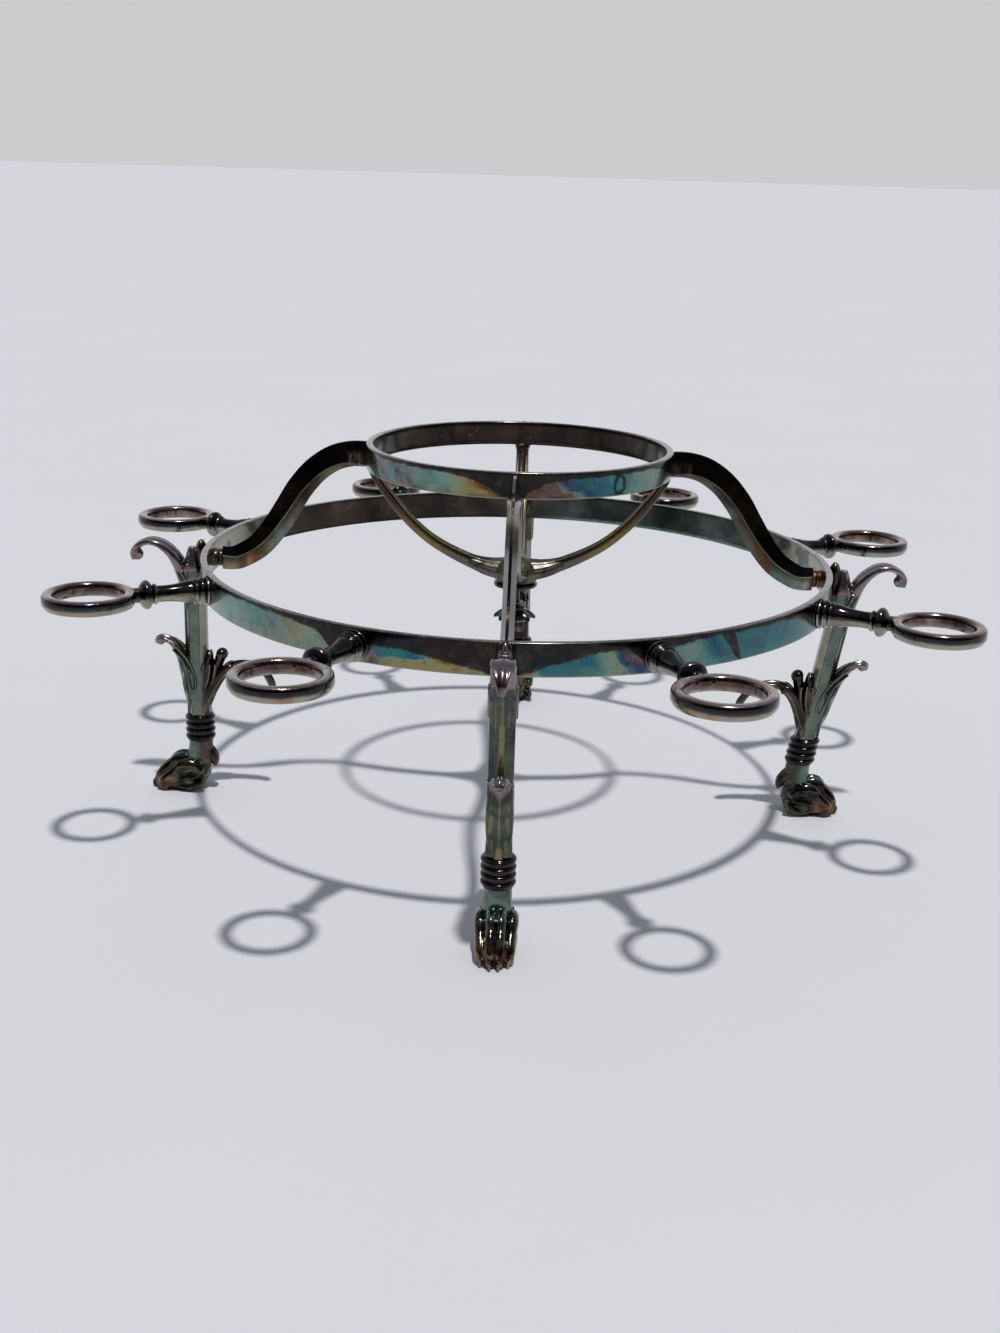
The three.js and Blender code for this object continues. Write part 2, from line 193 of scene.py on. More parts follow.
def spline(stops, count):
    """Smooth line through stops, which may hold any number of values each"""
    last = len(stops) - 1
    line = []
    for step in range(count + 1):
        place = step / count * last
        index = min(int(place), last - 1)
        w = place - index
        around = (stops[max(index - 1, 0)], stops[index], stops[index + 1], stops[min(index + 2, last)])
        values = []
        for before, start, end, after in zip(*around):
            leave = (end - before) / 2
            arrive = (after - start) / 2
            values.append(
                (2 * start - 2 * end + leave + arrive) * w**3
                + (3 * end - 3 * start - 2 * leave - arrive) * w**2
                + leave * w
                + start
            )
        line.append(values)
    return line


def place_selected(piece, ring):
    """Sets the corners of the selected face down on a ring of points"""
    mesh = bmesh.from_edit_mesh(piece.data)
    face = next(f for f in mesh.faces if f.select)
    for corner, point in zip(face.verts, ring):
        corner.co = Vector(point) * MM
    bmesh.update_edit_mesh(piece.data)


def drawn(name, rings):
    """Solid through rings of points: a filled circle that is extruded once for each ring"""
    deselect_all()
    bpy.ops.mesh.primitive_circle_add(vertices=len(rings[0]), radius=MM, fill_type="NGON")
    piece = bpy.context.object
    piece.name = name
    bpy.ops.object.mode_set(mode="EDIT")
    place_selected(piece, rings[0])
    for ring in rings[1:]:
        bpy.ops.mesh.extrude_region_move()
        place_selected(piece, ring)
    face_outwards()
    return piece


def face_outwards():
    bpy.ops.mesh.select_all(action="SELECT")
    bpy.ops.mesh.remove_doubles(threshold=0.002 * MM)
    bpy.ops.mesh.normals_make_consistent(inside=False)
    bpy.ops.object.mode_set(mode="OBJECT")


def along(route, steps, outline):
    """Rings of an outline set square to an upright route, whose stops are (radius, height, *sizes)"""
    line = spline(route, steps)
    rings = []
    for index, (radius, height, *sizes) in enumerate(line):
        ahead = line[min(index + 1, steps)]
        behind = line[max(index - 1, 0)]
        slope = math.atan2(ahead[1] - behind[1], ahead[0] - behind[0])
        rings.append([
            (radius - math.sin(slope) * across, side, height + math.cos(slope) * across)
            for across, side in outline(index / steps, *sizes)
        ])
    return rings


def oval(corners):
    """Outline function for a plain oval of (half depth, half width)"""
    def outline(_share, depth, width):
        angles = [TURN * (i + 0.5) / corners for i in range(corners)]
        return [(depth * math.cos(a), width * math.sin(a)) for a in angles]
    return outline


def bump_at(value, place, reach):
    """Smooth bump of height 1 where value is at place"""
    return math.exp(-(((value - place) / reach) ** 2))


def leafy(corners, ridge=0.3, groove=0.3, veins=0.0, rim=0.0):
    """Outline function for a leaf: an oval with a midrib, grooves, slanting veins and a raised rim"""
    def outline(share, depth, width):
        points = []
        for i in range(corners):
            angle = TURN * (i + 0.5) / corners
            side = math.sin(angle)
            swell = 1 + ridge * bump_at(side, 0, 0.2) - groove * bump_at(abs(side), 0.5, 0.2)
            if veins:
                swell += 0.2 * math.sin(TURN * (veins * share + 1.1 * abs(side))) * abs(side)
            if math.cos(angle) > 0:
                swell += rim * bump_at(abs(side), 0.86, 0.14)
            points.append((depth * math.cos(angle) * swell, width * side))
        return points
    return outline


def fluted(corners, flutes, depth_share):
    """Outline function for an oval with shallow flutes all round"""
    def outline(_share, depth, width):
        points = []
        for i in range(corners):
            angle = TURN * i / corners
            swell = 1 + depth_share * math.cos(flutes * angle)
            points.append((depth * math.cos(angle) * swell, width * math.sin(angle) * swell))
        return points
    return outline


def arc(centre, radius, start, end, steps):
    """Points of a round corner, angles in degrees"""
    return [
        (
            centre[0] + radius * math.cos(math.radians(start + (end - start) * i / steps)),
            centre[1] + radius * math.sin(math.radians(start + (end - start) * i / steps)),
        )
        for i in range(steps + 1)
    ]


def spun(name, outline, steps):
    """Turned form: a closed outline of (radius, height) is spun round the upright axis"""
    deselect_all()
    bpy.ops.mesh.primitive_circle_add(vertices=len(outline), radius=MM, fill_type="NOTHING")
    piece = bpy.context.object
    piece.name = name
    for corner, (radius, height) in zip(piece.data.vertices, outline):
        corner.co = Vector((radius, 0, height)) * MM
    bpy.ops.object.mode_set(mode="EDIT")
    bpy.ops.mesh.select_all(action="SELECT")
    bpy.ops.mesh.spin(steps=steps, angle=TURN, center=(0, 0, 0), axis=(0, 0, 1))
    face_outwards()
    return piece


def solid_profile(stops, count):
    """Closed outline on the axis for a turned form, with a smooth flank through stops"""
    flank = [tuple(p) for p in spline(stops, count)]
    return [(0, flank[0][1]), *flank, (0, flank[-1][1])]


def lump(place, size):
    """Rounded mass that is fused into a casting, by its place and half sizes in millimetres"""
    deselect_all()
    bpy.ops.mesh.primitive_ico_sphere_add(subdivisions=3, radius=1)
    piece = bpy.context.object
    matrix = Matrix.Translation(Vector(place) * MM) @ Matrix.Diagonal((*[s * MM for s in size], 1))
    return moved(piece, matrix)


def rolled_tip(place, radius, half_width):
    """Rolled-up tip of a leaf: a short solid roll lying along Y, with domed ends"""
    shape = [(0.0, 1.0), (0.3, 0.97), (0.55, 0.88), (0.75, 0.74), (0.9, 0.54), (0.98, 0.36), (1.0, 0.2)]
    stops = [(radius * r, -half_width * y) for r, y in shape]
    stops += [(radius * r, half_width * y) for r, y in shape[::-1]]
    piece = spun("rolled tip", stops, 36)
    matrix = Matrix.Translation(Vector(place) * MM) @ Matrix.Rotation(QUARTER, 4, "X")
    return moved(piece, matrix)


def moved(piece, matrix):
    piece.data.transform(matrix)
    piece.data.update()
    return piece


def sideways(piece, distance, turn=0.0):
    """Slides a part of a casting along Y and fans it round the upright axis through the leg"""
    about = Vector((LEG_RADIUS * MM, 0, 0))
    matrix = Matrix.Translation(Vector((0, distance * MM, 0))) @ Matrix.Translation(about)
    return moved(piece, matrix @ Matrix.Rotation(turn, 4, "Z") @ Matrix.Translation(-about))


def splayed(piece, slope, height):
    """Leans a part of a casting sideways, more the further it is above a height"""
    for corner in piece.data.vertices:
        corner.co.y += slope * (corner.co.z - height * MM)
    piece.data.update()
    return piece


def copied(piece):
    """Copy of a piece with its own mesh"""
    twin = piece.copy()
    twin.data = piece.data.copy()
    bpy.context.scene.collection.objects.link(twin)
    return twin


def turned_copies(piece, angles):
    """Copies of a part turned round the upright axis, in place of the part"""
    twins = [moved(copied(piece), Matrix.Rotation(angle, 4, "Z")) for angle in angles]
    bpy.data.objects.remove(piece)
    return twins


def mirrored(piece):
    """Copy of a part on the other side of the upright plane, with its faces turned back outwards"""
    twin = copied(piece)
    twin.data.transform(Matrix.Diagonal((1, -1, 1, 1)))
    twin.data.flip_normals()
    return twin


def joined(name, parts):
    deselect_all()
    for part in parts:
        part.select_set(True)
    bpy.context.view_layer.objects.active = parts[0]
    bpy.ops.object.join()
    piece = bpy.context.object
    piece.name = name
    return piece


def apply_modifier(piece, kind, **settings):
    choose(piece)
    modifier = piece.modifiers.new(kind.title(), kind)
    for setting, value in settings.items():
        setattr(modifier, setting, value)
    bpy.ops.object.modifier_apply(modifier=modifier.name)


def fused(name, parts, grain, rounds):
    """One casting: overlapping closed parts are fused into one skin and eased"""
    piece = joined(name, parts)
    apply_modifier(piece, "REMESH", mode="VOXEL", voxel_size=grain * MM)
    apply_modifier(piece, "SMOOTH", factor=0.5, iterations=rounds)
    choose(piece)
    bpy.ops.object.shade_smooth()
    return piece


def united(name, parts):
    """One solid from overlapping closed parts, with their crisp edges kept"""
    piece = parts[0]
    for part in parts[1:]:
        apply_modifier(piece, "BOOLEAN", operation="UNION", solver="EXACT", object=part)
        bpy.data.objects.remove(part)
    piece.name = name
    return piece


def smooth_by_angle(piece, degrees=35):
    choose(piece)
    bpy.ops.object.shade_smooth_by_angle(angle=math.radians(degrees))


def cut_flat(piece, height):
    """Cuts off what is below a height and closes the cut"""
    choose(piece)
    bpy.ops.object.mode_set(mode="EDIT")
    bpy.ops.mesh.select_all(action="SELECT")
    bpy.ops.mesh.bisect(
        plane_co=(0, 0, height * MM), plane_no=(0, 0, 1), use_fill=True, clear_inner=True,
        threshold=0.0005 * MM,
    )
    bpy.ops.object.mode_set(mode="OBJECT")


def dressed(piece, node, material):
    """Puts a finished piece in the place of its node"""
    piece.data.materials.clear()
    piece.data.materials.append(material)
    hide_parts(node)
    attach(piece, "root")


def spread(pattern, places, node, material):
    """Copies one finished piece to each place round the axis, each copy with its own mesh"""
    copies = {}
    for place, angle in places.items():
        copy = copied(pattern)
        copy.name = f"{pattern.name}_{place}"
        moved(copy, Matrix.Rotation(angle, 4, "Z"))
        dressed(copy, f"{node}_{place}", material)
        copies[place] = copy
    bpy.data.objects.remove(pattern)
    return copies


# Finishes

def add(tree, kind, inputs=None, **settings):
    """New node with its settings; an input is a value or a socket to link"""
    made = tree.nodes.new(kind)
    for setting, value in settings.items():
        setattr(made, setting, value)
    for socket, value in (inputs or {}).items():
        if isinstance(value, bpy.types.NodeSocket):
            tree.links.new(value, made.inputs[socket])
        else:
            made.inputs[socket].default_value = value
    return made


def calc(tree, operation, *values):
    return add(tree, "ShaderNodeMath", dict(enumerate(values)), operation=operation).outputs[0]


def blend(tree, share, first, second):
    """Colour mix; colours are sockets or screen colours"""
    colours = [c if isinstance(c, bpy.types.NodeSocket) else (*linear(c), 1) for c in (first, second)]
    return add(tree, "ShaderNodeMix", {0: share, 6: colours[0], 7: colours[1]}, data_type="RGBA").outputs[2]


def ease(tree, value, low, high, start=0.0, end=1.0):
    """Value mapped smoothly from low..high to start..end"""
    inputs = {0: value, 1: low, 2: high, 3: start, 4: end}
    return add(tree, "ShaderNodeMapRange", inputs, interpolation_type="SMOOTHSTEP").outputs[0]


def xyz(tree, vector):
    return add(tree, "ShaderNodeSeparateXYZ", {0: vector}).outputs


def noise(tree, vector, scale, detail=3.0, roughness=0.55, distortion=0.0):
    inputs = {
        "Vector": vector, "Scale": scale, "Detail": detail, "Roughness": roughness,
        "Distortion": distortion,
    }
    return add(tree, "ShaderNodeTexNoise", inputs).outputs[0]


def swing(tree, vector, scale, size, detail=3.0):
    """Noise that swings evenly about zero by about half of size"""
    return calc(
        tree, "MULTIPLY", calc(tree, "SUBTRACT", noise(tree, vector, scale, detail, 0.6), 0.5), size,
    )


def ramp(tree, value, stops):
    """Ramp through (place, grey) or (place, screen colour) stops"""
    made = add(tree, "ShaderNodeValToRGB", {0: value})
    elements = made.color_ramp.elements
    while len(elements) < len(stops):
        elements.new(0.5)
    for element, (place, shade) in zip(elements, stops):
        element.position = place
        element.color = (shade, shade, shade, 1) if isinstance(shade, float) else (*linear(shade), 1)
    return made.outputs[0]


def group(name, inputs, outputs):
    """Empty shader node group with named sockets"""
    tree = bpy.data.node_groups.new(name, "ShaderNodeTree")
    for socket, value in inputs.items():
        kind = "NodeSocketVector" if value is None else "NodeSocketFloat"
        made = tree.interface.new_socket(socket, in_out="INPUT", socket_type=kind)
        if value is not None:
            made.default_value = value
    for socket, kind in outputs.items():
        tree.interface.new_socket(socket, in_out="OUTPUT", socket_type=kind)
    return tree, add(tree, "NodeGroupInput").outputs, add(tree, "NodeGroupOutput").inputs


def use(tree, name, inputs):
    """Places a shared node group in a material with its own values"""
    shared = bpy.data.node_groups.get(name) or GROUPS[name]()
    return add(tree, "ShaderNodeGroup", inputs, node_tree=shared)


def tarnish_colours():
    """Film thickness to the colour that silver takes as it tarnishes, from bare plate to near black"""
    tree, given, out = group("Tarnish colours", {"Film": 0.5}, {"Color": "NodeSocketColor"})
    colour = ramp(tree, given["Film"], [
        (0.00, (0.64, 0.62, 0.58)),
        (0.08, (0.62, 0.55, 0.36)),
        (0.16, (0.52, 0.32, 0.20)),
        (0.24, (0.37, 0.23, 0.28)),
        (0.33, (0.12, 0.18, 0.33)),
        (0.43, (0.08, 0.35, 0.42)),
        (0.53, (0.20, 0.46, 0.47)),
        (0.63, (0.46, 0.58, 0.54)),
        (0.72, (0.52, 0.56, 0.45)),
        (0.80, (0.58, 0.52, 0.32)),
        (0.87, (0.44, 0.27, 0.17)),
        (0.94, (0.21, 0.16, 0.14)),
        (1.00, (0.11, 0.095, 0.09)),
    ])
    tree.links.new(colour, out["Color"])
    return tree


def cloudy_film():
    """Film thickness about a base value, with broad patches and fine speckle"""
    inputs = {"Vector": None, "Base": 0.6, "Spread": 0.4, "Patch": 90.0, "Speckle": 0.06}
    tree, given, out = group("Cloudy film", inputs, {"Film": "NodeSocketFloat"})
    broad = calc(tree, "SUBTRACT", noise(tree, given["Vector"], given["Patch"], 4, 0.6, 0.6), 0.5)
    fine = calc(
        tree, "SUBTRACT",
        noise(tree, given["Vector"], calc(tree, "MULTIPLY", given["Patch"], 11.0), 2, 0.6), 0.5,
    )
    total = calc(tree, "MULTIPLY_ADD", broad, given["Spread"], given["Base"])
    total = calc(tree, "MULTIPLY_ADD", fine, given["Speckle"], total)
    tree.links.new(total, out["Film"])
    return tree


def specks():
    """Mask of small dark pits that gather in places"""
    inputs = {"Vector": None, "Scale": 700.0, "Amount": 0.5}
    tree, given, out = group("Specks", inputs, {"Mask": "NodeSocketFloat"})
    cells = add(
        tree, "ShaderNodeTexVoronoi", {"Vector": given["Vector"], "Scale": given["Scale"]},
    ).outputs["Distance"]
    gate = noise(tree, given["Vector"], calc(tree, "MULTIPLY", given["Scale"], 0.18), 2)
    near = ease(tree, cells, 0.12, 0.3, 1.0, 0.0)
    allowed = ease(tree, gate, calc(tree, "MULTIPLY_ADD", given["Amount"], -0.3, 0.68), 0.7)
    tree.links.new(calc(tree, "MULTIPLY", near, allowed), out["Mask"])
    return tree


def worn_edges():
    """Masks of rubbed ridges and of filled hollows, from a mask of how far the surface bulges or dips"""
    inputs = {"Vector": None, "Relief": 0.5, "Reach": 0.05}
    masks = {"Ridges": "NodeSocketFloat", "Hollows": "NodeSocketFloat"}
    tree, given, out = group("Worn edges", inputs, masks)
    pointed = calc(tree, "ADD", given["Relief"], swing(tree, given["Vector"], 260.0, 0.03))
    high = calc(tree, "ADD", 0.515, given["Reach"])
    low = calc(tree, "SUBTRACT", 0.49, given["Reach"])
    tree.links.new(ease(tree, pointed, 0.515, high), out["Ridges"])
    tree.links.new(ease(tree, pointed, low, 0.49, 1.0, 0.0), out["Hollows"])
    return tree


def facing():
    """How far a surface faces up (1) or down (-1), and away from (1) or towards (-1) the frame's axis"""
    inputs = {"Vector": None, "Normal": None, "Drift": 0.1}
    tree, given, out = group("Facing", inputs, {"Upward": "NodeSocketFloat", "Outward": "NodeSocketFloat"})
    drift = swing(tree, given["Vector"], 130.0, 2.0)
    drift = calc(tree, "MULTIPLY", drift, given["Drift"])
    x, y, _ = xyz(tree, given["Vector"])
    flat = add(tree, "ShaderNodeCombineXYZ", {0: x, 1: y}).outputs[0]
    away = add(tree, "ShaderNodeVectorMath", {0: flat}, operation="NORMALIZE").outputs[0]
    outward = add(
        tree, "ShaderNodeVectorMath", {0: given["Normal"], 1: away}, operation="DOT_PRODUCT",
    ).outputs["Value"]
    upward = xyz(tree, given["Normal"])[2]
    tree.links.new(calc(tree, "ADD", upward, drift), out["Upward"])
    tree.links.new(calc(tree, "ADD", outward, drift), out["Outward"])
    return tree


def hand_worked():
    """Height of a cast and hand-polished surface: soft dents, fine grain and scratches"""
    inputs = {"Vector": None, "Dents": 0.5, "Grain": 0.3, "Scratches": 0.3}
    tree, given, out = group("Hand-worked surface", inputs, {"Height": "NodeSocketFloat"})
    dents = calc(tree, "MULTIPLY", noise(tree, given["Vector"], 120.0, 2), given["Dents"])
    grain = calc(tree, "MULTIPLY", noise(tree, given["Vector"], 1500.0, 3), given["Grain"])
    long_way = add(
        tree, "ShaderNodeMapping", {"Vector": given["Vector"], "Scale": (900.0, 900.0, 60.0)},
    ).outputs[0]
    marks = ease(tree, noise(tree, long_way, 1.0, 4, 0.7, 1.5), 0.58, 0.66)
    scratches = calc(tree, "MULTIPLY", marks, given["Scratches"])
    tree.links.new(calc(tree, "SUBTRACT", calc(tree, "ADD", dents, grain), scratches), out["Height"])
    return tree


GROUPS = {
    "Tarnish colours": tarnish_colours,
    "Cloudy film": cloudy_film,
    "Specks": specks,
    "Worn edges": worn_edges,
    "Facing": facing,
    "Hand-worked surface": hand_worked,
}


class Finish:
    """A metal material in the making: its tree, its shader and the inputs that most finishes read"""

    def __init__(self, name):
        self.material = bpy.data.materials.new(name)
        self.material.use_nodes = True
        self.tree = self.material.node_tree
        self.shader = self.tree.nodes["Principled BSDF"]
        self.shader.inputs["Metallic"].default_value = 1.0
        self.shader.inputs["Coat Weight"].default_value = 0.3
        self.shader.inputs["Coat Roughness"].default_value = 0.12
        self.place = add(self.tree, "ShaderNodeTexCoord").outputs["Object"]
        self.geometry = add(self.tree, "ShaderNodeNewGeometry").outputs
        self.colours = bpy.context.scene.epergne_finish

    def reach(self):
        """Distance from the frame's axis"""
        x, y, _ = xyz(self.tree, self.place)
        flat = add(self.tree, "ShaderNodeCombineXYZ", {0: x, 1: y}).outputs[0]
        return add(self.tree, "ShaderNodeVectorMath", {0: flat}, operation="LENGTH").outputs["Value"]

    def stretched(self, *scale):
        """Place with each direction scaled on its own, for marks that run one way"""
        return add(self.tree, "ShaderNodeMapping", {"Vector": self.place, "Scale": scale}).outputs[0]

    def film(self, **values):
        thickness = use(self.tree, "Cloudy film", {"Vector": self.place, **values}).outputs[0]
        return use(self.tree, "Tarnish colours", {"Film": thickness}).outputs[0]

    def mottle(self, scale, stops, distortion=0.5):
        return ramp(self.tree, noise(self.tree, self.place, scale, 5, 0.6, distortion), stops)

    def mask(self, name):
        return add(self.tree, "ShaderNodeAttribute", None, attribute_name=name).outputs["Fac"]

    def facing(self, drift=0.1):
        inputs = {"Vector": self.place, "Normal": self.geometry["Normal"], "Drift": drift}
        return use(self.tree, "Facing", inputs).outputs

    def worn(self, colour, ridge, hollow, reach=0.05, ridge_share=0.85, hollow_share=0.9):
        """Rubs the ridges to one colour and fills the hollows with another"""
        inputs = {"Vector": self.place, "Relief": self.mask("relief"), "Reach": reach}
        masks = use(self.tree, "Worn edges", inputs).outputs
        colour = self.over(colour, masks["Hollows"], hollow, hollow_share)
        return self.over(colour, masks["Ridges"], ridge, ridge_share)

    def over(self, colour, mask, top, share=1.0):
        mask = mask if share == 1.0 else calc(self.tree, "MULTIPLY", mask, share)
        return blend(self.tree, mask, colour, top)

    def specked(self, colour, scale, amount, share=1.0):
        mask = use(self.tree, "Specks", {"Vector": self.place, "Scale": scale, "Amount": amount}).outputs[0]
        return self.over(colour, mask, tuple(self.colours.umber), share)

    def done(self, colour, roughness, dents=0.5, grain=0.3, scratches=0.3, depth=0.05):
        """Links colour, roughness and the hand-worked height to the shader"""
        tree = self.tree
        inputs = {"Vector": self.place, "Dents": dents, "Grain": grain, "Scratches": scratches}
        height = use(tree, "Hand-worked surface", inputs).outputs[0]
        bump = add(tree, "ShaderNodeBump", {"Strength": 0.6, "Distance": depth * MM, "Height": height})
        tree.links.new(bump.outputs[0], self.shader.inputs["Normal"])
        tree.links.new(colour, self.shader.inputs["Base Color"])
        tree.links.new(
            calc(tree, "ADD", roughness, swing(tree, self.place, 240.0, 0.16)),
            self.shader.inputs["Roughness"],
        )
        return self.material


def band_finish(name, high, low, upper, lower, dark_depth, bloom, inner, loop=None):
    """Tarnished band: coloured outside, dark inside, with a rubbed top edge.

    The lists are read round the front from the left (0) to the right (1), and mirrored at the rear:
    film thickness on the upper and the lower part of the outer face, how far down from the top edge
    the face has gone dark (1 is all of it), and how much plum-grey bloom lies on it. inner holds the
    colours of the right half of the inner face, of its lower edge there, and how strongly its ends carry
    pale painted reflections.
    loop is the place (0..1, height share) of a ring-shaped stain.
    """
    look = Finish(name)
    tree, place = look.tree, look.place
    radius = high.x
    height = high.z - low.z
    x, y, z = xyz(tree, place)
    angle = calc(tree, "ABSOLUTE", calc(tree, "ARCTAN2", y, x))
    along_front = calc(tree, "MULTIPLY_ADD", angle, -1 / math.pi, 1.0)
    rise = calc(tree, "DIVIDE", calc(tree, "SUBTRACT", z, low.z * MM), height * MM)
    slanted = calc(tree, "MULTIPLY_ADD", rise, BAND_SLANT / radius, along_front)
    ragged = calc(tree, "ADD", slanted, swing(tree, place, 170.0, 1.6 / radius, 5.0))

    top_film = ramp(tree, ragged, upper)
    low_film = ramp(tree, ragged, lower)
    split = ease(tree, calc(tree, "ADD", rise, swing(tree, place, 210.0, 0.3)), 0.2, 0.36)
    base = add(tree, "ShaderNodeMix", {0: split, 2: low_film, 3: top_film}).outputs[0]
    outside = look.film(Base=base, Spread=0.16, Patch=85.0, Speckle=0.1)
    outside = look.over(
        outside, ease(tree, noise(tree, place, 240.0, 5, 0.7), 0.42, 0.7), (0.33, 0.37, 0.35), 0.6,
    )
    haze = calc(
        tree, "MULTIPLY", ramp(tree, ragged, bloom),
        ease(tree, noise(tree, place, 150.0, 4), 0.3, 0.62, 0.5, 1.0),
    )
    plum = look.mottle(
        260.0, [(0.38, (0.24, 0.20, 0.25)), (0.52, (0.42, 0.38, 0.41)), (0.66, (0.52, 0.51, 0.49))],
    )
    outside = look.over(outside, haze, plum)
    outside = look.specked(outside, 900.0, 0.8, 0.8)

    drop = calc(tree, "MULTIPLY_ADD", ramp(tree, ragged, dark_depth), 1.12, 0.02)
    edge = calc(tree, "ADD", calc(tree, "ADD", rise, drop), swing(tree, place, 300.0, 0.2))
    smoke = look.mottle(
        190.0, [(0.4, (0.075, 0.07, 0.07)), (0.55, (0.13, 0.115, 0.105)), (0.68, (0.24, 0.21, 0.19))],
    )
    outside = look.over(outside, ease(tree, edge, 0.96, 1.05), smoke, 0.96)
    if loop:
        run = calc(tree, "MULTIPLY", calc(tree, "SUBTRACT", along_front, loop[0]), math.pi * radius * MM)
        run = calc(tree, "ADD", run, swing(tree, place, 330.0, 3.2 * MM))
        lift = calc(tree, "MULTIPLY", calc(tree, "SUBTRACT", rise, loop[1]), height * MM * 0.7)
        away = calc(
            tree, "SQRT", calc(tree, "ADD", calc(tree, "POWER", run, 2.0), calc(tree, "POWER", lift, 2.0)),
        )
        off = calc(tree, "ABSOLUTE", calc(tree, "SUBTRACT", away, 2.1 * MM))
        stain = ease(tree, off, 0.25 * MM, 0.9 * MM, 1.0, 0.0)
        outside = look.over(outside, stain, (0.05, 0.09, 0.12), 0.9)
    outside = look.over(
        outside, ease(tree, z, (low.z + 0.25) * MM, (low.z + 0.7) * MM, 0.8, 0.0), (0.58, 0.57, 0.5),
    )

    inside = band_inside(look, x, along_front, rise, radius, *inner)
    is_outside = ease(tree, look.reach(), (radius - BAND_WALL + 0.9) * MM, (radius - 0.9) * MM)
    colour = blend(tree, is_outside, inside, outside)
    is_top = ease(tree, z, (high.z - 0.42) * MM, (high.z - 0.18) * MM)
    top = look.mottle(400.0, [(0.4, (0.5, 0.46, 0.46)), (0.6, tuple(look.colours.worn))])
    dulled = look.mottle(
        500.0, [(0.4, (0.20, 0.18, 0.17)), (0.56, (0.34, 0.31, 0.29)), (0.7, (0.60, 0.57, 0.54))],
    )
    rubbed = ramp(
        tree, along_front,
        [(0.0, 1.0), (0.09, 0.95), (0.2, 0.3), (0.5, 0.25), (0.8, 0.3), (0.91, 0.95), (1.0, 1.0)],
    )
    colour = blend(tree, is_top, colour, blend(tree, rubbed, dulled, top))
    return look.done(colour, 0.2, dents=0.7, grain=0.12, scratches=0.5)


def band_inside(look, x, along_front, rise, radius, right_shades, right_rim, end_reflection_share):
    """Inner face: dark brown on the left, another tint on the right, with pale painted reflections blotched
    towards both ends
    """
    tree, place = look.tree, look.place
    brown = look.mottle(45.0, [
        (0.38, (0.13, 0.105, 0.09)), (0.52, (0.21, 0.175, 0.15)), (0.62, (0.28, 0.245, 0.215)),
        (0.75, (0.38, 0.37, 0.33)),
    ], 0.4)
    tinted = look.mottle(60.0, right_shades, 0.4)
    right = ease(
        tree, calc(tree, "ADD", x, swing(tree, place, 60.0, 20 * MM)), -0.05 * radius * MM,
        0.25 * radius * MM,
    )
    inside = blend(tree, right, brown, tinted)
    dust = use(tree, "Specks", {"Vector": place, "Scale": 620.0, "Amount": 0.4}).outputs[0]
    inside = look.over(inside, dust, (0.52, 0.48, 0.42), 0.6)
    # Painted reflection: pale blotches towards both ends of the inner face, where it would mirror the lit
    # surroundings.
    ends = ramp(tree, along_front, [
        (0.0, 0.2), (0.04, 0.9), (0.09, 0.8), (0.14, 0.15), (0.20, 0.0), (0.80, 0.0), (0.86, 0.15),
        (0.91, 0.8), (0.96, 0.9),
        (1.0, 0.2)])
    blotches = ease(tree, noise(tree, place, 90.0, 3, 0.5, 0.4), 0.40, 0.46, 0.0, end_reflection_share)
    inside = look.over(inside, calc(tree, "MULTIPLY", ends, blotches), (0.57, 0.56, 0.48))
    rim = ease(tree, calc(tree, "ADD", rise, swing(tree, place, 300.0, 0.1)), 0.05, 0.16, 0.75, 0.0)
    return look.over(inside, rim, blend(tree, right, (0.10, 0.085, 0.07), right_rim))


def large_band_finish():
    upper = [
        (0.00, 0.66), (0.14, 0.64), (0.22, 0.62), (0.265, 0.56), (0.29, 0.60), (0.305, 0.76), (0.32, 0.70),
        (0.345, 0.68), (0.372, 0.90), (0.384, 0.46), (0.41, 0.52), (0.432, 0.45), (0.45, 0.88),
        (0.505, 0.88), (0.53, 0.52), (0.555, 0.50), (0.58, 0.46), (0.592, 0.63), (0.603, 0.73),
        (0.610, 0.36), (0.625, 0.20), (0.645, 0.62), (0.69, 0.60), (0.703, 0.40), (0.715, 0.50),
        (0.755, 0.47), (0.80, 0.43), (0.85, 0.52), (0.92, 0.60), (1.00, 0.66),
    ]
    lower = [
        (0.00, 0.66), (0.22, 0.64), (0.34, 0.70), (0.38, 0.76), (0.42, 0.80), (0.46, 0.79), (0.482, 0.74),
        (0.505, 0.87), (0.52, 0.84), (0.535, 0.50), (0.585, 0.54), (0.603, 0.72), (0.618, 0.34),
        (0.65, 0.64), (0.72, 0.52), (0.82, 0.47), (0.92, 0.58), (1.00, 0.66),
    ]
    dark = [
        (0.00, 0.95), (0.05, 0.60), (0.132, 0.95), (0.148, 0.5), (0.17, 0.14), (0.24, 0.08), (0.30, 0.12),
        (0.34, 0.24), (0.355, 1.0), (0.372, 0.74), (0.384, 0.36), (0.42, 0.38), (0.445, 0.52), (0.47, 0.66),
        (0.495, 0.92), (0.51, 0.88), (0.535, 0.66), (0.565, 0.44), (0.59, 0.26), (0.622, 0.22),
        (0.634, 1.0), (0.652, 0.3), (0.69, 0.12), (0.7165, 0.10), (0.7195, 0.95), (0.7255, 0.95),
        (0.7285, 0.10), (0.80, 0.10), (0.835, 0.32), (0.852, 0.8), (0.868, 0.98), (1.00, 0.95),
    ]
    bloom = [
        (0.00, 0.3), (0.08, 0.1), (0.20, 0.0), (0.268, 0.0), (0.282, 0.5), (0.296, 0.1), (0.374, 0.0),
        (0.380, 0.95), (0.391, 0.9), (0.399, 0.0), (0.59, 0.0), (0.625, 0.3), (0.64, 0.1), (0.9, 0.1),
        (1.0, 0.3),
    ]
    teal = [
        (0.38, (0.10, 0.115, 0.11)), (0.52, (0.17, 0.205, 0.20)), (0.64, (0.25, 0.29, 0.275)),
        (0.76, (0.36, 0.38, 0.35)),
    ]
    inner = (teal, (0.44, 0.54, 0.52), 1.0)
    return band_finish("Large band tarnish", LARGE_HIGH, LARGE_LOW, upper, lower, dark, bloom, inner)


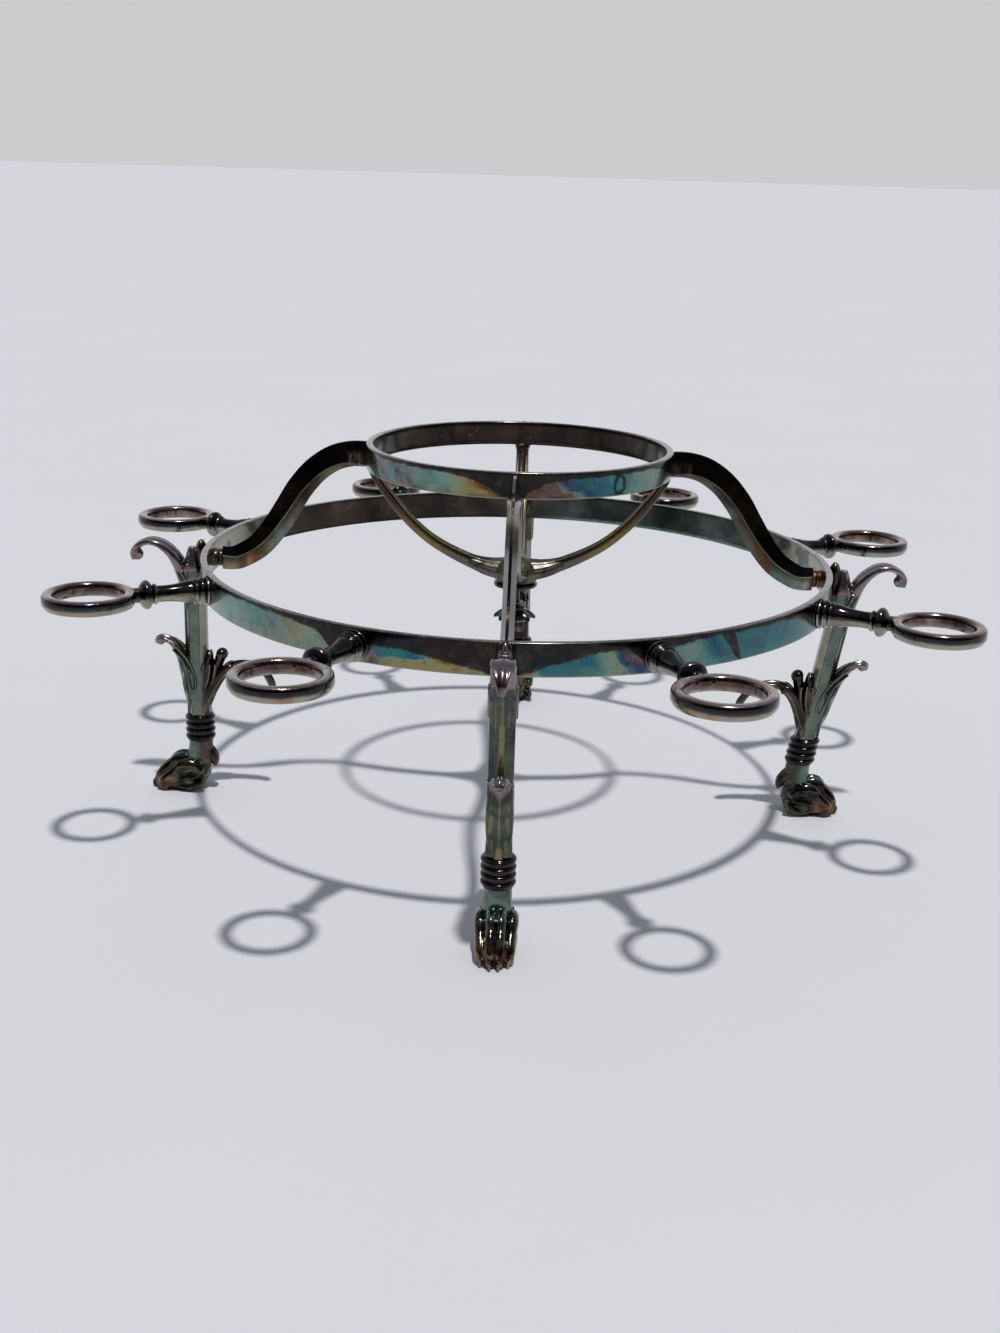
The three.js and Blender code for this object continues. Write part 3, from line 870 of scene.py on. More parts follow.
def small_band_finish():
    upper = [
        (0.00, 0.66), (0.15, 0.63), (0.185, 0.63), (0.24, 0.58), (0.27, 0.57), (0.30, 0.62), (0.33, 0.60),
        (0.36, 0.60), (0.40, 0.70), (0.43, 0.80), (0.46, 0.92), (0.52, 0.90), (0.56, 0.86), (0.60, 0.92),
        (0.62, 0.30), (0.65, 0.42), (0.70, 0.46), (0.74, 0.53), (0.80, 0.61), (0.90, 0.63), (1.00, 0.66),
    ]
    lower = [
        (0.00, 0.66), (0.25, 0.62), (0.36, 0.70), (0.40, 0.78), (0.45, 0.80), (0.48, 0.90), (0.56, 0.86),
        (0.62, 0.88), (0.65, 0.36), (0.70, 0.50), (0.80, 0.62), (1.00, 0.66),
    ]
    dark = [
        (0.00, 1.0), (0.09, 0.8), (0.13, 0.30), (0.17, 0.12), (0.34, 0.12), (0.40, 0.17), (0.44, 0.28),
        (0.465, 0.5), (0.485, 0.92), (0.515, 0.92), (0.54, 0.62), (0.58, 0.38), (0.64, 0.2), (0.85, 0.13),
        (0.90, 0.34), (0.94, 0.8), (1.00, 1.0),
    ]
    bloom = [
        (0.00, 0.6), (0.10, 0.3), (0.16, 0.1), (0.20, 0.9), (0.23, 0.3), (0.255, 0.85), (0.285, 0.9),
        (0.305, 0.1), (0.40, 0.0), (0.53, 0.1), (0.60, 0.5), (0.63, 0.2), (0.70, 0.0), (0.9, 0.1),
        (1.0, 0.6),
    ]
    maroon = [
        (0.38, (0.12, 0.085, 0.075)), (0.52, (0.20, 0.16, 0.14)), (0.64, (0.26, 0.25, 0.19)),
        (0.76, (0.36, 0.33, 0.28)),
    ]
    inner = (maroon, (0.22, 0.18, 0.16), 0.1)
    return band_finish(
        "Small band tarnish", SMALL_HIGH, SMALL_LOW, upper, lower, dark, bloom, inner, (0.716, 0.45),
    )


def strap_finish():
    """Upper facets painted near-black as a reflection of dark surroundings; lower facets in tarnish
    colours, painted dark near the ridges and pale at the lower edge like a lit floor; painted light where
    the top faces up; and light ridge lines
    """
    look = Finish("Strap tarnish and painted reflections")
    tree = look.tree
    x, y, _ = xyz(tree, look.place)
    run = calc(tree, "DIVIDE", look.reach(), STRAP_HIGH.x * MM)
    run = calc(tree, "ADD", run, swing(tree, look.place, 120.0, 0.1))
    first = ramp(tree, run, [
        (0.52, (0.20, 0.16, 0.13)), (0.60, (0.50, 0.45, 0.32)), (0.66, (0.46, 0.43, 0.36)),
        (0.705, (0.33, 0.27, 0.22)), (0.745, (0.52, 0.48, 0.42)), (0.79, (0.43, 0.50, 0.47)),
        (0.83, (0.44, 0.48, 0.39)), (0.862, (0.47, 0.45, 0.28)), (0.885, (0.48, 0.28, 0.20)),
        (0.912, (0.66, 0.46, 0.38)), (0.94, (0.38, 0.36, 0.18)),
        (0.965, (0.62, 0.56, 0.44)), (1.0, (0.52, 0.45, 0.35))])
    second = ramp(tree, run, [
        (0.52, (0.22, 0.18, 0.14)), (0.62, (0.38, 0.36, 0.30)), (0.68, (0.30, 0.31, 0.27)),
        (0.75, (0.47, 0.47, 0.41)), (0.79, (0.37, 0.38, 0.32)), (0.822, (0.44, 0.33, 0.17)),
        (0.845, (0.38, 0.25, 0.20)), (0.872, (0.38, 0.44, 0.38)), (0.91, (0.35, 0.47, 0.41)),
        (0.955, (0.52, 0.54, 0.50)), (0.98, (0.58, 0.57, 0.52)),
        (1.0, (0.38, 0.26, 0.18))])
    side = ease(tree, calc(tree, "MULTIPLY_ADD", y, 0.3, x), -1 * MM, 1 * MM)
    lower = blend(tree, side, first, second)
    lower = look.over(
        lower, ease(tree, noise(tree, look.place, 170.0, 4), 0.35, 0.7), (0.22, 0.19, 0.16), 0.7,
    )
    flank = calc(tree, "ADD", look.mask("flank"), swing(tree, look.place, 240.0, 0.25))
    # Painted reflection: the lower facets are painted darker next to the side ridges and pale towards the
    # lower edge, like a lit floor mirrored in them.
    lower = look.over(lower, ease(tree, flank, 0.45, 0.95), (0.15, 0.13, 0.11), 0.7)
    lower = look.over(lower, ease(tree, flank, 0.1, 0.3, 1.0, 0.0), (0.60, 0.57, 0.48), 0.55)
    # Painted reflection: facets that face up are painted near-black, like the dark surroundings they would
    # mirror; facets that face down keep the tarnish colours.
    upper = look.mottle(
        90.0, [(0.38, (0.09, 0.075, 0.065)), (0.54, (0.17, 0.14, 0.12)), (0.68, (0.27, 0.22, 0.17))],
    )
    upward = look.facing(0.06)["Upward"]
    colour = blend(tree, ease(tree, upward, -0.1, 0.06), lower, upper)
    # Painted reflection: where the strap's top faces straight up towards its inner end it is painted light,
    # like the bright sky mirrored in it.
    crest = calc(
        tree, "MULTIPLY", ease(tree, upward, 0.7, 0.85),
        ease(tree, noise(tree, look.place, 420.0, 4), 0.42, 0.56),
    )
    crest = calc(tree, "MULTIPLY", crest, ease(tree, run, 0.68, 0.74, 1.0, 0.0))
    colour = look.over(colour, crest, (0.60, 0.57, 0.50), 0.85)
    rubbed = ease(tree, noise(tree, look.place, 130.0, 3), 0.36, 0.52, 0.3, 0.95)
    colour = look.over(colour, calc(tree, "MULTIPLY", look.mask("ridge"), rubbed), (0.66, 0.63, 0.52))
    upright = look.stretched(620.0, 620.0, 110.0)
    beads = ramp(tree, noise(tree, upright, 1.0, 4, 0.65, 0.6), [
        (0.38, (0.12, 0.10, 0.09)), (0.5, (0.27, 0.235, 0.20)), (0.66, (0.56, 0.51, 0.44))])
    solder = calc(tree, "MULTIPLY", look.mask("solder"), ease(tree, x, 0.0, 40 * MM, 1.0, 0.3))
    colour = look.over(colour, solder, beads, 0.95)
    colour = look.specked(colour, 900.0, 0.5, 0.8)
    roughness = calc(tree, "MULTIPLY_ADD", look.mask("solder"), 0.25, 0.2)
    return look.done(colour, roughness, dents=0.9, grain=0.15, scratches=0.4)


def block_finish():
    """Dull brown-grey block that has gone coppery on the right-hand side"""
    look = Finish("Block tarnish")
    tree = look.tree
    x = xyz(tree, look.place)[0]
    plain = look.mottle(
        260.0, [(0.38, (0.21, 0.185, 0.17)), (0.5, (0.33, 0.295, 0.265)), (0.64, (0.43, 0.39, 0.35))],
    )
    copper = ramp(tree, noise(tree, look.stretched(1100.0, 140.0, 140.0), 1.0, 3), [
        (0.38, (0.16, 0.09, 0.06)), (0.5, (0.38, 0.24, 0.13)), (0.64, (0.60, 0.46, 0.30))])
    colour = look.over(plain, ease(tree, x, 20 * MM, 60 * MM), copper, 0.9)
    return look.done(colour, 0.42, dents=0.8, grain=0.5, scratches=0.2)


def leg_finish():
    """Leg whose rib is brassy, its facets grey-green, its back pale and its leaves purple brown"""
    look = Finish("Leg tarnish")
    tree = look.tree
    facing_out = look.facing(0.03)["Outward"]
    share = calc(tree, "MULTIPLY_ADD", facing_out, 0.5, 0.5)
    shaft = ramp(tree, share, [
        (0.03, (0.38, 0.36, 0.32)), (0.12, (0.58, 0.56, 0.51)), (0.22, (0.60, 0.59, 0.53)),
        (0.29, (0.13, 0.13, 0.12)), (0.36, (0.20, 0.23, 0.21)), (0.42, tuple(look.colours.sage)),
        (0.56, tuple(look.colours.sage)), (0.63, (0.08, 0.09, 0.085)), (0.78, (0.11, 0.14, 0.14)),
        (0.88, (0.16, 0.21, 0.22)), (0.96, (0.19, 0.22, 0.20)),
        (0.985, (0.42, 0.39, 0.25)), (1.0, (0.51, 0.46, 0.30))])
    tint = look.mottle(
        150.0, [(0.36, (0.16, 0.16, 0.14)), (0.5, (0.42, 0.46, 0.42)), (0.64, (0.62, 0.60, 0.48))],
    )
    shaft = look.over(shaft, 0.22, tint)
    leaf = look.mottle(75.0, [
        (0.34, (0.27, 0.22, 0.22)), (0.46, (0.50, 0.44, 0.46)), (0.56, (0.58, 0.53, 0.53)),
        (0.66, (0.42, 0.32, 0.31))])
    spray = look.mottle(
        120.0, [(0.38, (0.16, 0.13, 0.115)), (0.52, (0.27, 0.235, 0.21)), (0.66, (0.38, 0.33, 0.29))],
    )
    colour = look.over(shaft, look.mask("leaf"), leaf)
    colour = look.over(colour, look.mask("spray"), spray)
    colour = look.worn(colour, tuple(look.colours.brass), (0.09, 0.075, 0.065), 0.045, ridge_share=0.75)
    colour = look.specked(colour, 1100.0, 0.8, 0.7)
    return look.done(colour, 0.24, dents=0.5, grain=0.35, scratches=0.3)


def foot_finish():
    """Darkest castings: green-grey ankle, black collar, plum tuft and a near-black paw with brown toes"""
    look = Finish("Foot tarnish")
    tree = look.tree
    z = xyz(tree, look.place)[2]
    paw = look.mottle(210.0, [
        (0.36, (0.08, 0.085, 0.095)), (0.5, (0.17, 0.165, 0.15)), (0.6, (0.36, 0.34, 0.26)),
        (0.72, (0.30, 0.23, 0.18))])
    toes = look.mottle(
        260.0, [(0.38, (0.17, 0.11, 0.08)), (0.5, (0.38, 0.25, 0.17)), (0.64, (0.55, 0.46, 0.36))],
    )
    paw = look.over(paw, look.mask("toe"), toes, 0.85)
    shade = look.mottle(
        90.0, [(0.36, (0.17, 0.165, 0.15)), (0.5, (0.27, 0.265, 0.24)), (0.64, (0.33, 0.30, 0.28))],
    )
    green = look.mottle(
        90.0, [(0.36, (0.28, 0.34, 0.31)), (0.5, (0.40, 0.49, 0.44)), (0.64, (0.33, 0.36, 0.33))],
    )
    ankle = blend(tree, ease(tree, look.facing(0.1)["Outward"], -0.15, 0.35), shade, green)
    colour = look.over(paw, ease(tree, z, 12 * MM, 14 * MM), ankle)
    tuft = look.mottle(
        200.0, [(0.38, (0.12, 0.085, 0.09)), (0.52, (0.27, 0.20, 0.21)), (0.66, (0.42, 0.36, 0.35))],
    )
    colour = look.over(colour, look.mask("tuft"), tuft)
    colour = look.worn(colour, (0.72, 0.68, 0.56), (0.05, 0.045, 0.04), 0.05)
    reeds = look.mottle(180.0, [(0.4, (0.12, 0.105, 0.105)), (0.6, (0.24, 0.20, 0.20))])
    colour = look.over(colour, ease(tree, z, 19.7 * MM, 20.0 * MM), reeds)
    return look.done(colour, 0.15, dents=0.8, grain=0.3, scratches=0.2)


def nut_finish():
    """Near-black washer, stud and finial with greyed edges"""
    look = Finish("Blackened nut")
    colour = look.mottle(
        220.0, [(0.38, (0.09, 0.08, 0.075)), (0.54, (0.17, 0.15, 0.14)), (0.68, (0.25, 0.23, 0.21))],
    )
    colour = look.worn(colour, (0.42, 0.40, 0.37), (0.05, 0.045, 0.04), 0.06, ridge_share=0.6)
    return look.done(colour, 0.26, dents=0.6, grain=0.3, scratches=0.2)


def arm_finish():
    """Glossy arms with painted reflections: dark above like dark surroundings, pale and coppery below like
    a lit floor, with lighter pinkish ring tops and copper-brown bores
    """
    look = Finish("Arm tarnish and painted reflections")
    tree = look.tree
    upward = look.facing(0.12)["Upward"]
    z = xyz(tree, look.place)[2]
    level = calc(tree, "ADD", z, swing(tree, look.place, 160.0, 1.2 * MM))
    # Dish ring with painted reflections: the upper wall is painted dark like the dark surroundings, the
    # lower wall pale and coppery like a lit floor mirrored in it.
    painted_dark_upper_wall = look.mottle(50.0, [
        (0.36, (0.10, 0.095, 0.11)), (0.5, (0.17, 0.15, 0.16)), (0.6, (0.12, 0.16, 0.20)),
        (0.7, (0.26, 0.17, 0.14))])
    above = look.mottle(48.0, [
        (0.34, (0.50, 0.44, 0.46)), (0.46, (0.72, 0.66, 0.65)), (0.56, (0.62, 0.50, 0.45)),
        (0.66, (0.50, 0.40, 0.45))])
    below = look.mottle(60.0, [
        (0.38, (0.60, 0.60, 0.53)), (0.52, (0.55, 0.56, 0.52)), (0.6, (0.60, 0.48, 0.32)),
        (0.7, (0.52, 0.32, 0.26))])
    ring = blend(tree, ease(tree, level, 89.5 * MM, 90.3 * MM), below, painted_dark_upper_wall)
    bore = look.mottle(
        110.0, [(0.38, (0.20, 0.15, 0.14)), (0.5, (0.42, 0.32, 0.30)), (0.64, (0.60, 0.52, 0.48))],
    )
    ring = look.over(ring, look.mask("bore"), bore, 0.85)
    # Where the ring faces up it is painted a lighter pinkish copper, partly tarnish tint and partly a
    # painted reflection of the bright sky behind.
    ring = blend(tree, ease(tree, upward, 0.6, 0.85), ring, above)
    # Stem with painted reflections: painted dark where it faces up and sideways, like the dark
    # surroundings, and pale grey-beige underneath, like a lit floor.
    dark = look.mottle(70.0, [
        (0.36, (0.075, 0.08, 0.09)), (0.5, (0.13, 0.125, 0.135)), (0.6, (0.24, 0.21, 0.20)),
        (0.72, (0.40, 0.38, 0.35))])
    pale = look.mottle(
        90.0, [(0.36, (0.40, 0.38, 0.33)), (0.5, (0.62, 0.61, 0.55)), (0.66, (0.52, 0.50, 0.44))],
    )
    stem = blend(tree, ease(tree, upward, -0.28, 0.02), pale, dark)
    colour = blend(tree, ease(tree, look.reach(), 130 * MM, 139 * MM), stem, ring)
    colour = look.worn(colour, (0.70, 0.67, 0.62), (0.07, 0.06, 0.055), 0.06, ridge_share=0.5)
    colour = look.specked(colour, 900.0, 0.6, 0.7)
    return look.done(colour, 0.16, dents=0.6, grain=0.12, scratches=0.25)


ROD_REACH = 54


def rod_finish():
    """Rods that go from plum brown at the top through gold to grey near the hub, with light ridges"""
    look = Finish("Rod tarnish")
    tree = look.tree
    share = calc(tree, "DIVIDE", look.reach(), ROD_REACH * MM)
    run = calc(tree, "ADD", share, swing(tree, look.place, 110.0, 0.14))
    colour = ramp(tree, run, [
        (0.30, (0.42, 0.41, 0.37)), (0.45, (0.46, 0.43, 0.34)), (0.60, (0.56, 0.49, 0.31)),
        (0.74, (0.50, 0.42, 0.27)),
        (0.84, (0.36, 0.28, 0.25)), (0.95, (0.38, 0.33, 0.30))])
    colour = look.over(colour, noise(tree, look.place, 260.0, 5, 0.65, 1.2), (0.14, 0.11, 0.09), 0.5)
    colour = look.over(colour, look.mask("groove"), (0.13, 0.10, 0.08), 0.7)
    colour = look.over(colour, look.mask("ridge"), (0.66, 0.61, 0.49), 0.85)
    spots = look.mottle(
        620.0, [(0.38, (0.14, 0.11, 0.09)), (0.5, (0.33, 0.27, 0.21)), (0.66, (0.62, 0.58, 0.5))],
    )
    colour = look.over(colour, look.mask("solder"), spots, 0.9)
    colour = look.specked(colour, 1000.0, 0.7, 0.8)
    return look.done(colour, 0.24, dents=0.6, grain=0.3, scratches=0.3)


def hub_finish():
    """Greyed brown hub with folds that have gone dark"""
    look = Finish("Hub tarnish")
    colour = look.mottle(170.0, [
        (0.36, (0.19, 0.16, 0.14)), (0.46, (0.33, 0.31, 0.27)), (0.57, (0.42, 0.40, 0.35)),
        (0.7, (0.27, 0.24, 0.21))])
    colour = look.worn(colour, (0.52, 0.49, 0.42), (0.10, 0.085, 0.07), 0.04, ridge_share=0.6)
    return look.done(colour, 0.4, dents=0.8, grain=0.6, scratches=0.2)


FINISHES = {
    "large band": large_band_finish,
    "small band": small_band_finish,
    "strap": strap_finish,
    "block": block_finish,
    "leg": leg_finish,
    "foot": foot_finish,
    "nut": nut_finish,
    "arm": arm_finish,
    "rod": rod_finish,
    "hub": hub_finish,
}
MADE = {}


def finish(name):
    """Material by name, built once"""
    if name not in MADE:
        MADE[name] = FINISHES[name]()
    return MADE[name]


# Pieces

def band(name, low, high, sizes):
    """Upright band of rectangular section with eased edges"""
    outer, edge = high.x, sizes.edge
    inner = outer - BAND_WALL
    outline = [
        *arc((inner + edge, low.z + edge), edge, 180, 270, 4),
        *arc((outer - edge, low.z + edge), edge, 270, 360, 4),
        *[(outer, low.z + edge + (high.z - low.z - 2 * edge) * i / 5) for i in range(1, 5)],
        *arc((outer - edge, high.z - edge), edge, 0, 90, 4),
        *arc((inner + edge, high.z - edge), edge, 90, 180, 4),
        *[(inner, high.z - edge - (high.z - low.z - 2 * edge) * i / 5) for i in range(1, 5)],
    ]
    piece = spun(name, outline, sizes.steps)
    smooth_by_angle(piece, 40)
    return piece


def mark(piece, name, value_at):
    """Stores a mask on the corners of a mesh; value_at gets a corner's place in millimetres"""
    layer = piece.data.attributes.new(name, "FLOAT", "POINT")
    layer.data.foreach_set("value", [float(value_at(v.co / MM)) for v in piece.data.vertices])


def clamp(value):
    return max(0.0, min(1.0, value))


RELIEF_ROUNDS = 2


def mark_relief(piece):
    """Stores how far each corner bulges (above 0.5) or dips (below 0.5), evened out over its neighbours"""
    mesh = piece.data
    count = len(mesh.vertices)
    places = numpy.empty(count * 3)
    normals = numpy.empty(count * 3)
    ends = numpy.empty(len(mesh.edges) * 2, dtype=int)
    mesh.vertices.foreach_get("co", places)
    mesh.vertices.foreach_get("normal", normals)
    mesh.edges.foreach_get("vertices", ends)
    places, normals, ends = places.reshape(-1, 3), normals.reshape(-1, 3), ends.reshape(-1, 2)
    first, second = ends[:, 0], ends[:, 1]
    run = places[second] - places[first]
    run /= numpy.maximum(numpy.linalg.norm(run, axis=1, keepdims=True), 1e-12)
    bend = numpy.zeros(count)
    neighbours = numpy.zeros(count)
    for corner, way in ((first, run), (second, -run)):
        numpy.add.at(bend, corner, (normals[corner] * way).sum(axis=1))
        numpy.add.at(neighbours, corner, 1)
    neighbours = numpy.maximum(neighbours, 1)
    relief = 0.5 - bend / neighbours / math.pi
    for _ in range(RELIEF_ROUNDS):
        total = relief * 2
        numpy.add.at(total, first, relief[second])
        numpy.add.at(total, second, relief[first])
        relief = total / (neighbours + 2)
    mesh.attributes.new("relief", "FLOAT", "POINT").data.foreach_set("value", relief.astype(numpy.float32))


class EPERGNE_OT_bands(bpy.types.Operator):
    """Models the large and the small band ring"""

    bl_idname = "epergne.bands"
    bl_label = "Band rings"

    def execute(self, context):
        sizes = context.scene.epergne_bands
        large = band("large_band", LARGE_LOW, LARGE_HIGH, sizes)
        dressed(large, "large_ring", finish("large band"))
        small = band("small_band", SMALL_LOW, SMALL_HIGH, sizes)
        dressed(small, "small_ring", finish("small band"))
        return {"FINISHED"}


STRAP_TOP_HEIGHT = 130.4
STRAP_END_HEIGHT = 90.6
STRAP_ROUTE = [
    (54.2, STRAP_TOP_HEIGHT, 1.0),
    (60, STRAP_TOP_HEIGHT - 0.1, 1.0),
    (66.2, 128.5, 1.015),
    (72.6, 124.1, 1.03),
    (78.3, 117.5, 1.045),
    (82.9, 110, 1.045),
    (87.8, 102.4, 1.03),
    (93.5, 95.7, 1.0),
    (100.1, 91.5, 0.97),
    (103.6, STRAP_END_HEIGHT, 0.95),
    (STRAP_HIGH.x, STRAP_END_HEIGHT, 0.93),
]
FACET_SHARES = (0.0, 0.07, 0.35, 0.65, 0.93)
SOLDER_END = 61.8
SOLDER_TOP = STRAP_TOP_HEIGHT + 1.2


def strap_outline(sizes):
    """Six-sided section with sharp side ridges that climb from the lower edge towards the upper one"""
    def outline(share, fullness):
        half = sizes.depth * fullness / 2
        side = sizes.width / 2
        edge = 0.5
        ridge = half * (1.17 * max(share, 0.0) ** 0.75 - 0.87)
        corners = [
            (half, edge), (half, -edge), (ridge, -side), (-half, -edge), (-half, edge), (ridge, side),
        ]
        points = []
        for index, start in enumerate(corners):
            end = corners[(index + 1) % len(corners)]
            for part in FACET_SHARES:
                points.append(tuple(a + (b - a) * part for a, b in zip(start, end)))
        return points
    return outline


class EPERGNE_OT_straps(bpy.types.Operator):
    """Models the four S-shaped straps and the round blocks at their lower ends"""

    bl_idname = "epergne.straps"
    bl_label = "Straps"

    def execute(self, context):
        sizes = context.scene.epergne_straps
        strap = drawn("s_strap", along(STRAP_ROUTE, sizes.steps, strap_outline(sizes)))
        side = sizes.width / 2
        mark(strap, "ridge", lambda place: abs(place.y) > side * 0.985)
        mark(strap, "flank", lambda place: abs(place.y) / side)
        mark(strap, "solder", self.solder_share)
        self.roughen_solder(strap)
        smooth_by_angle(strap, 15)
        spread(strap, SIDES, "strap", finish("strap"))
        spread(self.block(), SIDES, "strap_block", finish("block"))
        return {"FINISHED"}

    def solder_share(self, place):
        """How much solder lies on the lower part of the strap next to the small band"""
        return clamp((SOLDER_END - place.x) / 1.4) * clamp((SOLDER_TOP - place.z) / 1.4)

    def roughen_solder(self, strap):
        """Lumpy solder on the flanks of the strap next to the small band"""
        for corner in strap.data.vertices:
            x, y, z = place = corner.co / MM
            if abs(y) > 0.8:
                lumps = math.sin(x * 4.1 + z * 0.8) + math.sin(x * 6.3 - z * 1.1)
                corner.co.y += math.copysign(0.14 * lumps * MM * self.solder_share(place), y)

    def block(self):
        """Round block along X, with an eased end, a shallow groove and a solder fillet at the band"""
        start, end = BLOCK_LOW.x - 0.5, BLOCK_HIGH.x + 0.4
        radius = (BLOCK_HIGH.z - BLOCK_LOW.z) / 2
        outline = [
            (0, start), (radius - 0.45, start), (radius - 0.1, start + 0.25), (radius, start + 0.7),
            (radius, start + 1.3), (radius - 0.22, start + 1.6), (radius, start + 1.9), (radius, end - 0.9),
            (radius + 0.12, end - 0.45), (radius + 0.5, end), (0, end),
        ]
        block = spun("strap_stub", outline, 40)
        lie_down = Matrix.Rotation(QUARTER, 4, "Y")
        moved(block, Matrix.Translation((0, 0, STRAP_END_HEIGHT * MM)) @ lie_down)
        smooth_by_angle(block, 40)
        return block


LEG_RADIUS = 117.5
LEG_BOTTOM = 30.2


def shaft_outline(centre, half_depth, half_width):
    """Leg section: a raised rib between two grooves outside, sloping facets and a bevelled back"""
    rib = 1.3
    outline = [
        (half_depth + 0.35, rib * 0.6),
        (half_depth + 0.1, rib),
        (half_depth - 0.8, rib + 0.15),
        (half_depth - 0.75, rib + 0.6),
        (half_depth * 0.5, half_width),
        (-half_depth * 0.46, half_width),
        (-half_depth, half_width * 0.5),
    ]
    return [(centre + x, y) for x, y in outline] + [(centre + x, -y) for x, y in reversed(outline)]


def leg_shaft():
    stops = [
        (LEG_BOTTOM, LEG_RADIUS - 0.3, 4.2, 4.2),
        (36, LEG_RADIUS - 0.2, 4.0, 4.0),
        (48, LEG_RADIUS, 3.9, 3.9),
        (60, LEG_RADIUS, 3.9, 3.9),
        (72, LEG_RADIUS, 3.9, 3.9),
        (84, LEG_RADIUS, 3.9, 3.8),
        (90, LEG_RADIUS + 0.3, 2.6, 3.0),
        (94.2, LEG_RADIUS + 0.6, 1.0, 1.7),
    ]
    rings = []
    for height, centre, depth, width in spline(stops, 30):
        rings.append([(x, y, height) for x, y in shaft_outline(centre, depth, width)])
    return drawn("shaft", rings)


def top_scroll():
    """Leaf that springs from the head of the leg, is widest at its crest and ends in a small knob"""
    leaf = drawn("scroll", along([
        (119.6, 70, 1.6, 3.0),
        (120.2, 77, 2.3, 3.5),
        (121.6, 83.5, 2.6, 3.65),
        (124.6, 90, 2.2, 3.75),
        (129.2, 94.5, 1.6, 4.0),
        (133.8, 95.7, 1.3, 3.9),
        (137.6, 94.2, 1.2, 2.8),
        (139.9, 91.4, 1.1, 1.7),
        (139.6, 88.6, 1.0, 1.0),
    ], 48, leafy(32, ridge=0.08, groove=0.16, rim=0.55)))
    parts = [leaf, rolled_tip((138.5, 0, 90.8), 2.3, 1.35)]
    lobe = drawn("side lobe", along([
        (118.0, 71.5, 0.4, 0.3),
        (118.8, 75, 1.4, 0.6),
        (119.8, 79, 1.9, 0.8),
        (120.4, 83, 1.8, 0.8),
        (120.2, 86.2, 1.1, 0.6),
        (119.5, 88.4, 0.4, 0.4),
    ], 22, leafy(20, ridge=0.1, groove=0.1)))
    sideways(lobe, 3.5)
    vein = drawn("side vein", along([
        (118.2, 74.5, 0.3, 0.3), (118.9, 78, 0.4, 0.4), (120.0, 82, 0.4, 0.4), (121.8, 86, 0.35, 0.35),
    ], 14, oval(8)))
    sideways(vein, 4.25)
    front_line = drawn("front line", along([
        (121.6, 75.5, 0.3, 0.3), (122.2, 80, 0.45, 0.4), (122.9, 84.5, 0.45, 0.4), (124.0, 88, 0.35, 0.3),
    ], 14, oval(8)))
    splayed(sideways(front_line, 0.9), 0.16, 75.5)
    for part in (lobe, vein, front_line):
        parts += [part, mirrored(part)]
    return parts


def upright_leaf():
    inside = LARGE_HIGH.x + 0.3
    return drawn("upright leaf", along([
        (inside + 2.2, 74, 1.9, 2.5),
        (inside + 2.1, 84, 2.0, 2.6),
        (inside + 2.0, 92, 1.9, 2.5),
        (inside + 1.9, 95.4, 1.5, 2.0),
        (inside + 1.7, 97.0, 0.5, 0.7),
    ], 26, leafy(22, ridge=0.25, groove=0.3)))


def outward_leaf():
    """Leaf half way up that curls outwards, with a curled rim and an inner line on each flank"""
    leaf = drawn("outward leaf", along([
        (119.4, 32, 1.4, 3.0),
        (119.8, 38, 2.4, 4.1),
        (120.6, 45, 2.6, 4.3),
        (122.6, 51.6, 2.1, 3.9),
        (125.8, 56.9, 1.5, 3.0),
        (129.4, 59.0, 1.25, 2.3),
        (131.6, 58.6, 1.1, 1.9),
        (132.4, 57.2, 0.8, 1.6),
    ], 44, leafy(36, ridge=0.3, groove=0.2, veins=6.0)))
    parts = [leaf, rolled_tip((131.0, 0, 57.9), 1.5, 1.8)]
    rim = drawn("rim", along([
        (127.6, 58.5, 0.4, 0.45),
        (123.9, 56.0, 0.5, 0.5),
        (120.7, 52.2, 0.5, 0.5),
        (118.5, 47.8, 0.5, 0.5),
        (117.6, 43.8, 0.5, 0.5),
        (118.1, 40.8, 0.5, 0.5),
        (119.7, 40.0, 0.45, 0.45),
        (120.6, 41.4, 0.4, 0.4),
        (119.9, 43.0, 0.35, 0.35),
    ], 52, oval(10)))
    sideways(rim, 3.75)
    inner_line = drawn("inner line", along([
        (120.2, 45.4, 0.3, 0.3), (121.0, 48.6, 0.4, 0.4), (122.8, 52.2, 0.4, 0.4),
        (126.0, 55.8, 0.35, 0.35),
    ], 18, oval(8)))
    sideways(inner_line, 3.75)
    for part in (rim, inner_line):
        parts += [part, mirrored(part)]
    return parts


